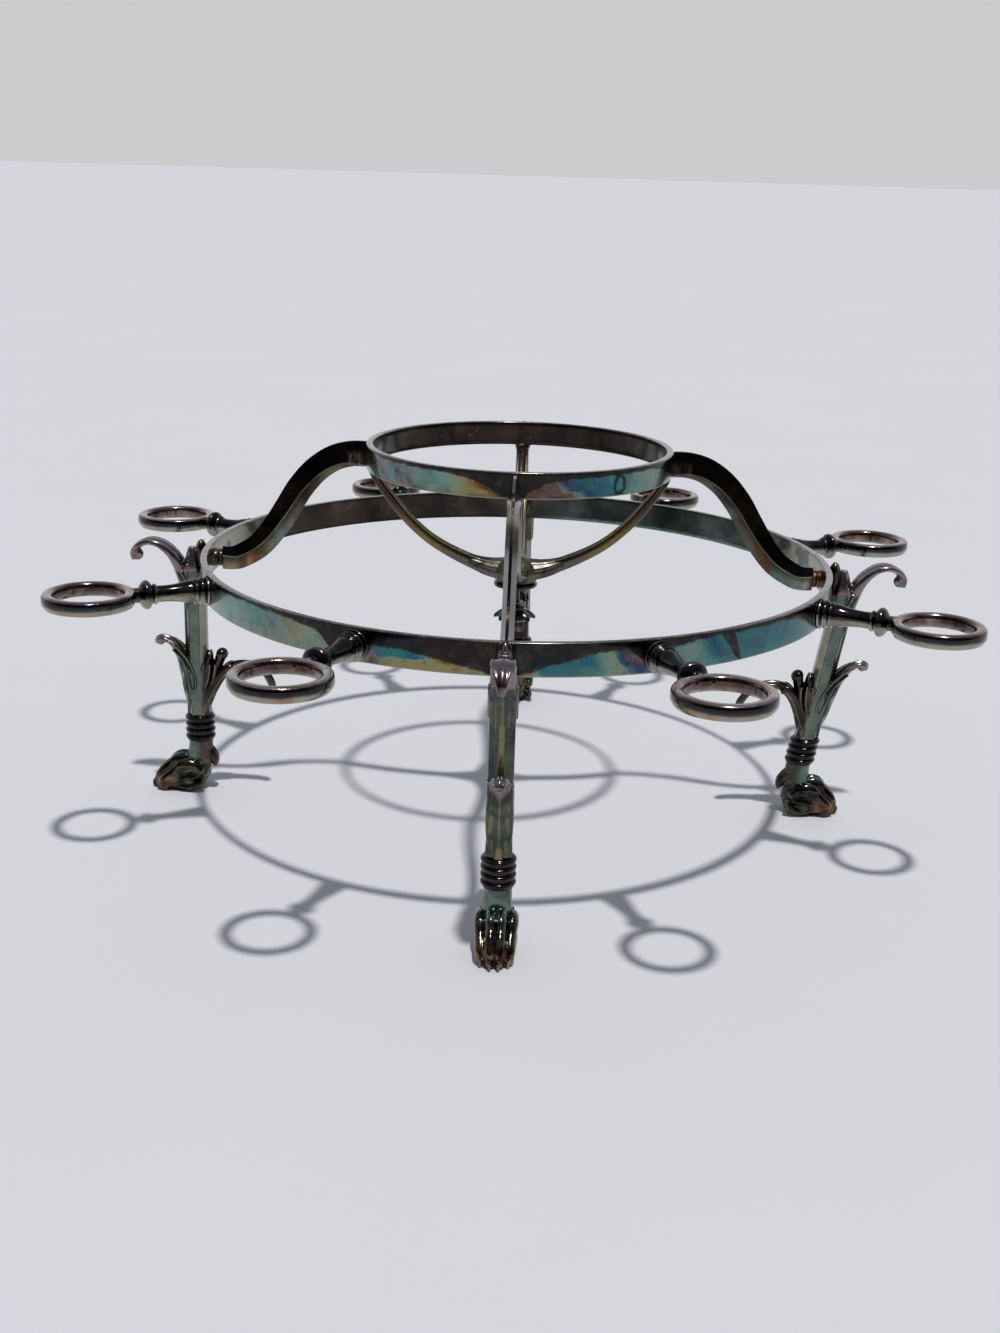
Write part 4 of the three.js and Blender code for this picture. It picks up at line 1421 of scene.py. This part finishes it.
def inner_leaves():
    """Leaves towards the middle: a long curl, a lobe with a knob, side scallops and a flat back leaf"""
    curl = drawn("curl", along([
        (115.6, 32, 1.6, 3.0),
        (114.4, 36, 2.1, 3.6),
        (112.3, 40.5, 2.0, 3.4),
        (108.2, 46.0, 1.6, 3.0),
        (102.8, 49.7, 1.3, 2.7),
        (96.8, 49.8, 1.2, 2.5),
        (92.2, 46.9, 1.2, 2.3),
        (89.8, 42.6, 1.2, 2.0),
        (90.0, 40.6, 0.8, 1.4),
    ], 46, leafy(24, ridge=0.4, groove=0.35)))
    lobe = drawn("lobe", along([
        (115.4, 34, 1.4, 2.6),
        (114.0, 39, 1.8, 3.1),
        (111.6, 45.0, 1.7, 2.8),
        (109.8, 49.6, 1.5, 2.6),
        (108.6, 53.2, 1.7, 2.6),
    ], 26, leafy(26, ridge=0.25, groove=0.3)))
    parts = [curl, lobe, lump((108.2, 0, 53.8), (2.25, 2.7, 2.25))]
    scallop = drawn("scallop", along([
        (114.6, 35, 1.0, 0.8),
        (112.0, 41, 1.3, 1.0),
        (108.4, 46.6, 1.3, 1.1),
        (105.4, 49.2, 1.2, 1.1),
        (104.0, 48.6, 1.0, 0.9),
        (104.2, 47.2, 0.6, 0.6),
    ], 30, oval(12)))
    sideways(scallop, 3.4, 0.06)
    ribs = []
    for foot, head in ((114.6, 110.4), (115.6, 112.4), (116.5, 114.6)):
        rib = drawn("stem vein", along([
            (foot, 31.6, 0.35, 0.35), (foot - 0.4, 38, 0.45, 0.4), (head + 0.6, 45, 0.45, 0.4),
            (head - 0.2, 50.5, 0.35, 0.3),
        ], 18, oval(8)))
        ribs.append(sideways(rib, 3.55))
    for part in (scallop, *ribs):
        parts += [part, mirrored(part)]
    back = drawn("back leaf", along([
        (115.2, 36, 1.6, 3.4),
        (114.0, 44, 1.8, 3.7),
        (113.2, 50, 1.4, 3.5),
        (112.7, 53.6, 0.9, 2.9),
        (112.5, 55.0, 0.4, 1.6),
    ], 24, leafy(24, ridge=0.4, groove=0.35)))
    return [*parts, back]


def leaned(piece, sizes):
    """Bends the part of a leg below the bend height in towards the axis"""
    for corner in piece.data.vertices:
        drop = max(0.0, sizes.lean_height * MM - corner.co.z)
        corner.co.x -= sizes.lean * drop
    piece.data.update()


class EPERGNE_OT_legs(bpy.types.Operator):
    """Models the four cast legs with their leaves"""

    bl_idname = "epergne.legs"
    bl_label = "Legs"

    def execute(self, context):
        sizes = context.scene.epergne_castings
        parts = [leg_shaft(), *top_scroll(), upright_leaf(), *outward_leaf(), *inner_leaves()]
        leg = fused("cast_leg", parts, sizes.leg_grain, 2)
        mark(leg, "leaf", lambda place: clamp(max(place.x - 124.5, place.z - 85)))
        mark(leg, "spray", self.spray_share)
        mark_relief(leg)
        copies = spread(leg, SIDES, "leg", finish("leg"))
        leaned(copies["right"], sizes)
        return {"FINISHED"}

    def spray_share(self, place):
        """How far a point belongs to the dark inner leaves or to the upright leaf"""
        inner = min(115.4 - place.x, 58 - place.z)
        upright = min(116.6 - place.x, place.z - 74)
        return clamp(max(inner, upright))


COLLAR_BOTTOM = 20.0
COLLAR_TOP = 30.0
COLLAR_RADIUS = 5.55
COLLAR_CENTRE = LEG_RADIUS - 0.4


def collar():
    """Four glossy rolls with a fine step between them"""
    pitch = (COLLAR_TOP - COLLAR_BOTTOM) / 4
    outline = [(0, COLLAR_BOTTOM)]
    for roll in range(4):
        base = COLLAR_BOTTOM + roll * pitch
        outline += [
            (COLLAR_RADIUS - 1.0, base + 0.05), (COLLAR_RADIUS - 0.6, base + 0.2),
            (COLLAR_RADIUS - 0.6, base + 0.42),
        ]
        outline += arc((COLLAR_RADIUS - 0.78, base + 0.5 + pitch * 0.38), pitch * 0.32, -80, 80, 7)
    outline += [(COLLAR_RADIUS - 0.9, COLLAR_TOP), (0, COLLAR_TOP)]
    return moved(spun("collar", outline, 48), Matrix.Translation((COLLAR_CENTRE * MM, 0, 0)))


TOE_PLACES = (-1.5, -0.5, 0.5, 1.5)
TOE_PITCH = 3.5


def toe(place):
    """One rounded toe with a shallow waist behind its tip, and a small claw on the table"""
    outer = abs(place) > 1
    back = 2.2 if outer else 0.0
    drop = 1.4 if outer else 0.0
    root = drawn("toe", along([
        (118.0 - back, 9.6 - drop, 1.6, 1.3),
        (121.4 - back, 11.6 - drop, 2.5, 1.75),
        (125.0 - back, 11.4 - drop, 3.0, 2.0),
        (128.0 - back, 9.3 - drop, 2.3, 1.7),
        (130.2 - back, 7.4 - drop, 2.4, 1.85),
        (132.2 - back, 5.0 - drop / 2, 2.3, 1.85),
        (132.9 - back, 2.6, 2.0, 1.6),
        (132.4 - back, 0.8, 1.6, 1.3),
    ], 40, oval(20)))
    claw = drawn("claw", along([
        (132.8 - back, 3.6, 0.9, 0.7), (134.7 - back, 2.8, 0.9, 0.65), (135.2 - back, 1.2, 0.6, 0.5),
        (134.6 - back, -0.4, 0.4, 0.35),
    ], 14, oval(10)))
    return [sideways(part, place * TOE_PITCH, -0.045 * place) for part in (root, claw)]


FLANK_LOCKS = (
    ((116.4, 12.6), (117.6, 10.4), (120.0, 9.0), (123.0, 8.8), (125.6, 9.6)),
    ((115.6, 10.0), (116.6, 7.4), (118.8, 5.8), (121.8, 5.4), (124.6, 6.2)),
    ((115.2, 6.6), (116.0, 4.0), (118.2, 2.3), (121.4, 1.7), (124.8, 1.9)),
)


def paw_parts():
    """Ankle, pad, toes, a tuft of hair at the heel and locks swept along the flanks"""
    ankle = drawn("ankle", along([
        (COLLAR_CENTRE, 20.5, 4.5, 4.5),
        (LEG_RADIUS - 0.4, 18, 4.5, 4.4),
        (LEG_RADIUS - 0.2, 15, 4.7, 4.5),
        (LEG_RADIUS + 0.5, 11.5, 5.0, 4.8),
        (LEG_RADIUS + 1.8, 7, 5.2, 5.4),
    ], 22, oval(24)))
    pad = drawn("pad", along([
        (115.2, 3.2, 1.8, 2.0),
        (116.6, 3.8, 3.4, 3.6),
        (119.4, 4.4, 5.2, 5.0),
        (123.0, 4.6, 6.0, 5.6),
        (127.5, 4.2, 5.0, 5.8),
        (131.0, 3.2, 3.6, 5.2),
        (133.0, 2.4, 2.4, 4.0),
    ], 30, oval(28)))
    parts = [ankle, pad]
    for place in TOE_PLACES:
        parts += toe(place)
    for side, height, turn in (
        (0, 17.8, 0.0), (1.8, 17.2, 0.14), (-1.8, 17.2, -0.14), (3.3, 16.2, 0.3), (-3.3, 16.2, -0.3),
    ):
        lock = drawn("hair lock", along([
            (114.0, height, 0.6, 0.7),
            (112.8, height - 2.2, 1.2, 1.05),
            (111.7, height - 4.6, 1.3, 1.05),
            (111.0, height - 6.6, 0.5, 0.5),
        ], 20, leafy(14, ridge=0.5, groove=0.4)))
        parts.append(sideways(lock, side, turn))
    for route in FLANK_LOCKS:
        sizes = (0.5, 1.0, 1.15, 0.9, 0.35)
        lock = drawn(
            "flank lock",
            along([(*stop, size, size) for stop, size in zip(route, sizes)], 26, leafy(14, 0.3, 0.3)),
        )
        sideways(lock, 4.7 if route[0][1] > 7 else 5.4)
        parts += [lock, mirrored(lock)]
    return parts


class EPERGNE_OT_paws(bpy.types.Operator):
    """Models the four feet: reeded collar, ankle and lion paw"""

    bl_idname = "epergne.paws"
    bl_label = "Paw feet"

    def execute(self, context):
        sizes = context.scene.epergne_castings
        paw = fused("cast_paw", paw_parts(), sizes.paw_grain, 2)
        cut_flat(paw, 0)
        paw = united("cast_paw", [paw, collar()])
        smooth_by_angle(paw, 40)
        mark(paw, "toe", lambda place: clamp((place.x - 124) / 4) * clamp((9 - place.z) / 3))
        mark(paw, "tuft", lambda place: clamp((113.9 - place.x) / 0.8) * clamp((place.z - 9.5) / 1.5))
        mark_relief(paw)
        copies = spread(paw, SIDES, "paw_foot", finish("foot"))
        leaned(copies["right"], sizes)
        return {"FINISHED"}


TRUMPET = [(3.95, 118.0), (3.8, 119.4), (3.3, 121.6), (2.9, 124.4), (2.75, 127.2), (2.8, 129.4)]
BEAD = [(3.4, 131.3), (4.55, 132.2), (4.9, 133.1), (4.55, 134.1), (3.6, 134.9), (2.9, 135.3)]
BEAD_STEPS = 18


class EPERGNE_OT_arms(bpy.types.Operator):
    """Models the eight cast arms with their dish rings"""

    bl_idname = "epergne.arms"
    bl_label = "Arms"

    def execute(self, context):
        sizes = context.scene.epergne_arms
        arm = united("cast_arm", [self.stem(), self.dish_ring(sizes), *self.shoulders(sizes)])
        moved(arm, Matrix.Translation((0, 0, sizes.height * MM)))
        smooth_by_angle(arm, 38)
        mark(
            arm, "bore",
            lambda place: clamp(2 * (sizes.ring_hole + 1 - math.hypot(
                place.x - sizes.ring_centre, place.y,
            ))),
        )
        mark_relief(arm)
        spread(arm, ARMS, "ring_arm", finish("arm"))
        return {"FINISHED"}

    def stem(self):
        """Thin flange, two rolls, trumpet, bead and neck, turned and laid along X"""
        start = LARGE_HIGH.x + 0.05
        outline = [
            (0, start), (5.0, start), (5.15, start + 0.15), (5.15, start + 0.6), (5.0, start + 0.8),
            (4.3, start + 0.95),
            *arc((3.75, start + 2.0), 1.05, -60, 60, 8),
            (4.15, start + 3.1),
            *arc((3.55, start + 4.0), 0.85, -60, 60, 8),
            (3.85, start + 4.95),
            *spline(TRUMPET, BEAD_STEPS),
            (3.35, 129.8), (3.55, 130.3), (3.35, 130.8), (2.95, 131.1),
            *spline(BEAD, BEAD_STEPS),
            (2.55, 135.5), (2.55, 138.6), (0, 138.6),
        ]
        return moved(spun("stem", outline, 56), Matrix.Rotation(QUARTER, 4, "Y"))

    def dish_ring(self, sizes):
        """Ring with a half-round top, a straight flank and a bevelled underside"""
        outer, hole = sizes.ring_outer, sizes.ring_hole
        middle = (outer + hole) / 2
        top = 2.45
        crown = spline([
            (hole, 0.5), (hole + 0.1, 1.4), (hole + 0.5, 2.05), (hole + 1.15, 2.38), (middle, top),
            (outer - 1.15, 2.38), (outer - 0.5, 2.05), (outer - 0.1, 1.4), (outer, 0.5),
        ], 24)
        outline = [
            (hole, -1.3), *[tuple(p) for p in crown], (outer, -1.0), (outer - 0.75, -2.3),
            (hole + 0.8, -2.3),
        ]
        return moved(spun("dish ring", outline, 104), Matrix.Translation((sizes.ring_centre * MM, 0, 0)))

    def shoulders(self, sizes):
        """Small leaf-like shoulders where the stem meets the ring"""
        centre = sizes.ring_centre
        middle = (sizes.ring_outer + sizes.ring_hole) / 2
        parts = []
        for side in (-1, 1):
            angle = math.pi + side * 0.24
            place = (centre + middle * math.cos(angle), middle * math.sin(angle), 0.1)
            parts.append(lump(place, (2.1, 2.0, 2.0)))
        return parts


ROD_ROUTE = [
    (52.6, 127.0, 0.88),
    (52.3, 125.2, 0.88),
    (51.2, 122.8, 0.88),
    (48.9, 119.2, 0.92),
    (45.2, 114.4, 0.98),
    (41, 109.2, 1.02),
    (36, 104.3, 1.06),
    (31, 100.3, 1.1),
    (25.3, 96.9, 1.18),
    (20, 94.3, 1.3),
    (15, 92.2, 1.4),
    (11, 91.0, 1.4),
]
ROD_TOP_WIDTH = 7.4
ROD_BEAD_END = 51
ROD_SOLDER_LEVEL = 121.5


def rod_outline(sizes):
    """Flat ribbon with a raised bead at each side and a groove between, wider where it is soldered"""
    def outline(share, fullness):
        flare = math.exp(-share * 22)
        half = sizes.depth * fullness / 2
        side = (sizes.width + (ROD_TOP_WIDTH - sizes.width) * flare) / 2
        face = [(0.62, 0.0), (0.66, 0.36), (0.86, 0.5), (1.0, 0.66), (0.9, 0.84), (0.5, 0.97)]
        quarter = [(half * depth, side * across) for depth, across in face]
        lower = [(-depth, across) for depth, across in reversed(quarter)]
        right = quarter + [(0.0, side)] + lower
        left = [(depth, -across) for depth, across in reversed(right[1:-1])]
        return right + left
    return outline


class EPERGNE_OT_rods(bpy.types.Operator):
    """Models the four cradle rods"""

    bl_idname = "epergne.rods"
    bl_label = "Cradle rods"

    def execute(self, context):
        sizes = context.scene.epergne_cradle
        rod = drawn("swept_rod", along(ROD_ROUTE, sizes.steps, rod_outline(sizes)))
        apply_modifier(rod, "SUBSURF", levels=1, render_levels=1)
        half = sizes.width / 2
        mark(
            rod, "ridge",
            lambda place: clamp(1 - abs(abs(place.y) / half - 0.68) / 0.2) * (place.x < ROD_BEAD_END),
        )
        mark(rod, "groove", lambda place: clamp(1 - abs(place.y) / half / 0.4) * (place.x < ROD_BEAD_END))
        mark(rod, "solder", lambda place: clamp((place.z - ROD_SOLDER_LEVEL) / 2))
        choose(rod)
        bpy.ops.object.shade_smooth()
        spread(rod, SIDES, "cradle_rod", finish("rod"))
        return {"FINISHED"}


FOLD_STEP = 0.24


class EPERGNE_OT_hub(bpy.types.Operator):
    """Models the flared hub, its washer and its stud"""

    bl_idname = "epergne.hub"
    bl_label = "Hub"

    def execute(self, context):
        hub = fused("flared_hub", self.hub_parts(), 0.25, 3)
        washer = self.washer()
        stud = self.stud()
        for piece in (hub, washer, stud):
            mark_relief(piece)
        dressed(hub, "cradle_hub", finish("hub"))
        dressed(washer, "hub_washer", finish("nut"))
        dressed(stud, "hub_stud", finish("nut"))
        return {"FINISHED"}

    def hub_parts(self):
        """Bell-shaped core and a fluted flare towards each rod"""
        core = spun("core", solid_profile([
            (6.4, HUB_LOW.z + 0.05), (7.4, HUB_LOW.z + 0.5), (8.2, 88.2), (8.4, 90.0), (7.6, 92.0),
            (5.2, 94.0), (3.0, 94.8), (1.2, HUB_HIGH.z - 0.3),
        ], 32), 48)
        parts = [core]
        for angle in SIDES.values():
            flare = drawn("flare", along([
                (18.4, 93.55, 2.2, 2.3),
                (15.9, 92.6, 2.55, 2.6),
                (13.4, 91.7, 2.9, 3.1),
                (10.6, 90.9, 3.3, 3.9),
                (7.4, 90.4, 3.7, 4.7),
                (3.5, 90.4, 3.9, 4.8),
            ], 24, fluted(40, 10, 0.045)))
            parts.append(moved(flare, Matrix.Rotation(angle, 4, "Z")))
            fold = drawn("fold", along([
                (8.0, 91.2, 0.3, 0.3), (8.2, 89.4, 0.4, 0.45), (7.8, 87.6, 0.4, 0.45),
                (7.2, 86.1, 0.35, 0.35),
            ], 16, oval(8)))
            parts += turned_copies(
                fold, [angle + QUARTER / 2 + step * FOLD_STEP for step in (-1.5, -0.5, 0.5, 1.5)],
            )
        return parts

    def washer(self):
        low, high, edge = WASHER_LOW.z, WASHER_HIGH.z, 0.4
        radius = WASHER_HIGH.x
        bore = STUD_HIGH.x + 0.1
        outline = [
            (bore, low), (radius - edge, low), *arc((radius - edge, low + edge), edge, -70, 0, 3),
            *arc((radius - edge, high - edge), edge, 0, 90, 4), (bore, high),
        ]
        washer = spun("washer_disc", outline, 64)
        smooth_by_angle(washer, 40)
        return washer

    def stud(self):
        """Plain stud with eased ends and a shallow turned waist between the washer and the finial"""
        radius = STUD_HIGH.x - 0.02
        low, high = STUD_LOW.z, STUD_HIGH.z
        middle = (WASHER_LOW.z + FINIAL_HIGH.z) / 2
        outline = [
            (0, low), (radius - 0.3, low), (radius, low + 0.3), (radius, middle - 2.4),
            (radius - 0.3, middle - 2.0),
            (radius - 0.3, middle + 2.0), (radius, middle + 2.4), (radius, high - 0.3),
            (radius - 0.3, high), (0, high),
        ]
        stud = spun("turned_stud", outline, 40)
        smooth_by_angle(stud, 30)
        return stud


PETALS = 8


class EPERGNE_OT_finial(bpy.types.Operator):
    """Models the leafy finial below the hub"""

    bl_idname = "epergne.finial"
    bl_label = "Finial"

    def execute(self, context):
        dome = spun("dome", solid_profile([
            (1.0, FINIAL_LOW.z + 0.1), (3.2, FINIAL_LOW.z + 0.4), (5.2, 71.6), (6.3, 72.6), (6.0, 73.8),
            (4.6, 74.8), (3.8, 75.4), (3.85, 76.4), (3.4, FINIAL_HIGH.z - 0.05),
        ], 36), 48)
        petal = drawn("petal", along([
            (2.4, 74.6, 0.5, 1.2), (4.2, 74.3, 0.75, 2.0), (5.8, 73.4, 0.75, 1.8), (7.0, 72.5, 0.6, 1.1),
            (7.55, 72.0, 0.3, 0.4),
        ], 18, leafy(18, ridge=0.4, groove=0.2)))
        parts = [dome, *turned_copies(petal, [TURN * index / PETALS for index in range(PETALS)])]
        finial = fused("leaf_finial", parts, 0.2, 2)
        mark_relief(finial)
        dressed(finial, "finial", finish("nut"))
        return {"FINISHED"}


CAMERA_PLACE = (11.675, -557.155, 229.634)
CAMERA_YAW = math.radians(-1.69)
CAMERA_PITCH = math.radians(17.598)
CAMERA_ROLL = math.radians(-1.693)
SUN_TOWARDS = (0.10, -0.25, 1.0)


class EPERGNE_OT_stage(bpy.types.Operator):
    """Sets the floor, the soft lamps, the pale surroundings and the camera"""

    bl_idname = "epergne.stage"
    bl_label = "Stage"

    def execute(self, context):
        settings = context.scene.epergne_stage
        self.floor(settings)
        self.surroundings(context.scene)
        self.sun(settings)
        self.camera(context.scene, settings)
        context.scene.view_settings.view_transform = "Standard"
        return {"FINISHED"}

    def floor(self, settings):
        """Pale level floor with a wide rim"""
        deselect_all()
        bpy.ops.mesh.primitive_circle_add(
            vertices=96, radius=1, fill_type="NGON", location=(0, 0, -0.05 * MM),
        )
        floor = bpy.context.object
        floor.name = "pale_floor"
        bpy.ops.object.transform_apply(location=True)
        bpy.ops.object.mode_set(mode="EDIT")
        bpy.ops.mesh.inset(thickness=0.2)
        bpy.ops.object.mode_set(mode="OBJECT")
        moved(floor, Matrix.Diagonal((40, 40, 1, 1)))
        material = bpy.data.materials.new("Pale floor")
        material.use_nodes = True
        tree = material.node_tree
        shader = tree.nodes["Principled BSDF"]
        place = add(tree, "ShaderNodeTexCoord").outputs["Object"]
        shade = noise(tree, place, 6.0, 3)
        colour = blend(tree, shade, tuple(settings.floor), tuple(c * 0.985 for c in settings.floor))
        tree.links.new(colour, shader.inputs["Base Color"])
        shader.inputs["Roughness"].default_value = 0.7
        floor.data.materials.append(material)

    def surroundings(self, scene):
        """Pale behind, dimmer at the front and overhead, so that the metal has something to mirror"""
        world = scene.world or bpy.data.worlds.new("Studio")
        scene.world = world
        world.use_nodes = True
        tree = world.node_tree
        direction = add(tree, "ShaderNodeTexCoord").outputs["Generated"]
        _, y, z = xyz(tree, direction)
        behind = ramp(tree, z, [
            (0.0, (0.86, 0.86, 0.87)), (0.35, (0.82, 0.82, 0.84)), (0.6, (0.58, 0.60, 0.64)),
            (1.0, (0.52, 0.54, 0.58))])
        front = ramp(tree, z, [
            (0.0, (0.17, 0.17, 0.18)), (0.35, (0.24, 0.245, 0.26)), (0.65, (0.46, 0.48, 0.52)),
            (1.0, (0.52, 0.54, 0.58))])
        room = blend(tree, ease(tree, y, -0.5, 0.4), front, behind)
        seen = add(tree, "ShaderNodeLightPath").outputs["Is Camera Ray"]
        colour = blend(tree, seen, room, (0.80, 0.80, 0.81))
        tree.links.new(colour, tree.nodes["Background"].inputs["Color"])
        tree.nodes["Background"].inputs["Strength"].default_value = 1.0

    def sun(self, settings):
        """Broad, even light from high up in front, a little to the right"""
        data = bpy.data.lights.new("Studio sun", "SUN")
        data.energy = settings.sun_strength
        data.angle = settings.sun_spread
        lamp = bpy.data.objects.new("Studio sun", data)
        lamp.rotation_mode = "QUATERNION"
        lamp.rotation_quaternion = Vector(SUN_TOWARDS).to_track_quat("Z", "Y")
        bpy.context.scene.collection.objects.link(lamp)

    def camera(self, scene, settings):
        data = bpy.data.cameras.new("Camera")
        data.lens = settings.lens
        data.sensor_width = 36
        data.clip_start = 0.01
        camera = bpy.data.objects.new("Camera", data)
        ahead = Vector((
            math.sin(CAMERA_YAW) * math.cos(CAMERA_PITCH),
            math.cos(CAMERA_YAW) * math.cos(CAMERA_PITCH),
            -math.sin(CAMERA_PITCH),
        ))
        level = Vector((math.cos(CAMERA_YAW), -math.sin(CAMERA_YAW), 0))
        over = level.cross(ahead)
        right = level * math.cos(CAMERA_ROLL) - over * math.sin(CAMERA_ROLL)
        up = level * math.sin(CAMERA_ROLL) + over * math.cos(CAMERA_ROLL)
        axes = Matrix((right, up, -ahead)).transposed()
        camera.matrix_world = Matrix.Translation(Vector(CAMERA_PLACE) * MM) @ axes.to_4x4()
        scene.collection.objects.link(camera)
        scene.camera = camera


class EPERGNE_PT_panel(bpy.types.Panel):
    """Lists the pieces of the epergne frame"""

    bl_idname = "EPERGNE_PT_panel"
    bl_label = "Epergne frame"
    bl_space_type = "VIEW_3D"
    bl_region_type = "UI"
    bl_category = "Epergne"

    def draw(self, context):
        for operator in OPERATORS:
            self.layout.operator(operator.bl_idname)


SETTINGS = {
    "epergne_bands": BandSizes,
    "epergne_straps": StrapSizes,
    "epergne_castings": CastingSizes,
    "epergne_arms": ArmSizes,
    "epergne_cradle": CradleSizes,
    "epergne_finish": FinishColours,
    "epergne_stage": StageSettings,
}
OPERATORS = (
    EPERGNE_OT_bands,
    EPERGNE_OT_straps,
    EPERGNE_OT_legs,
    EPERGNE_OT_paws,
    EPERGNE_OT_arms,
    EPERGNE_OT_rods,
    EPERGNE_OT_hub,
    EPERGNE_OT_finial,
    EPERGNE_OT_stage,
)


def register():
    for setting in SETTINGS.values():
        bpy.utils.register_class(setting)
    for name, setting in SETTINGS.items():
        setattr(bpy.types.Scene, name, PointerProperty(type=setting))
    for operator in OPERATORS:
        bpy.utils.register_class(operator)
    bpy.utils.register_class(EPERGNE_PT_panel)


def unregister():
    bpy.utils.unregister_class(EPERGNE_PT_panel)
    for operator in reversed(OPERATORS):
        bpy.utils.unregister_class(operator)
    for name in SETTINGS:
        delattr(bpy.types.Scene, name)
    for setting in reversed(SETTINGS.values()):
        bpy.utils.unregister_class(setting)


def main():
    register()
    for operator in OPERATORS:
        family, action = operator.bl_idname.split(".")
        getattr(getattr(bpy.ops, family), action)()


if __name__ == "__main__":
    main()
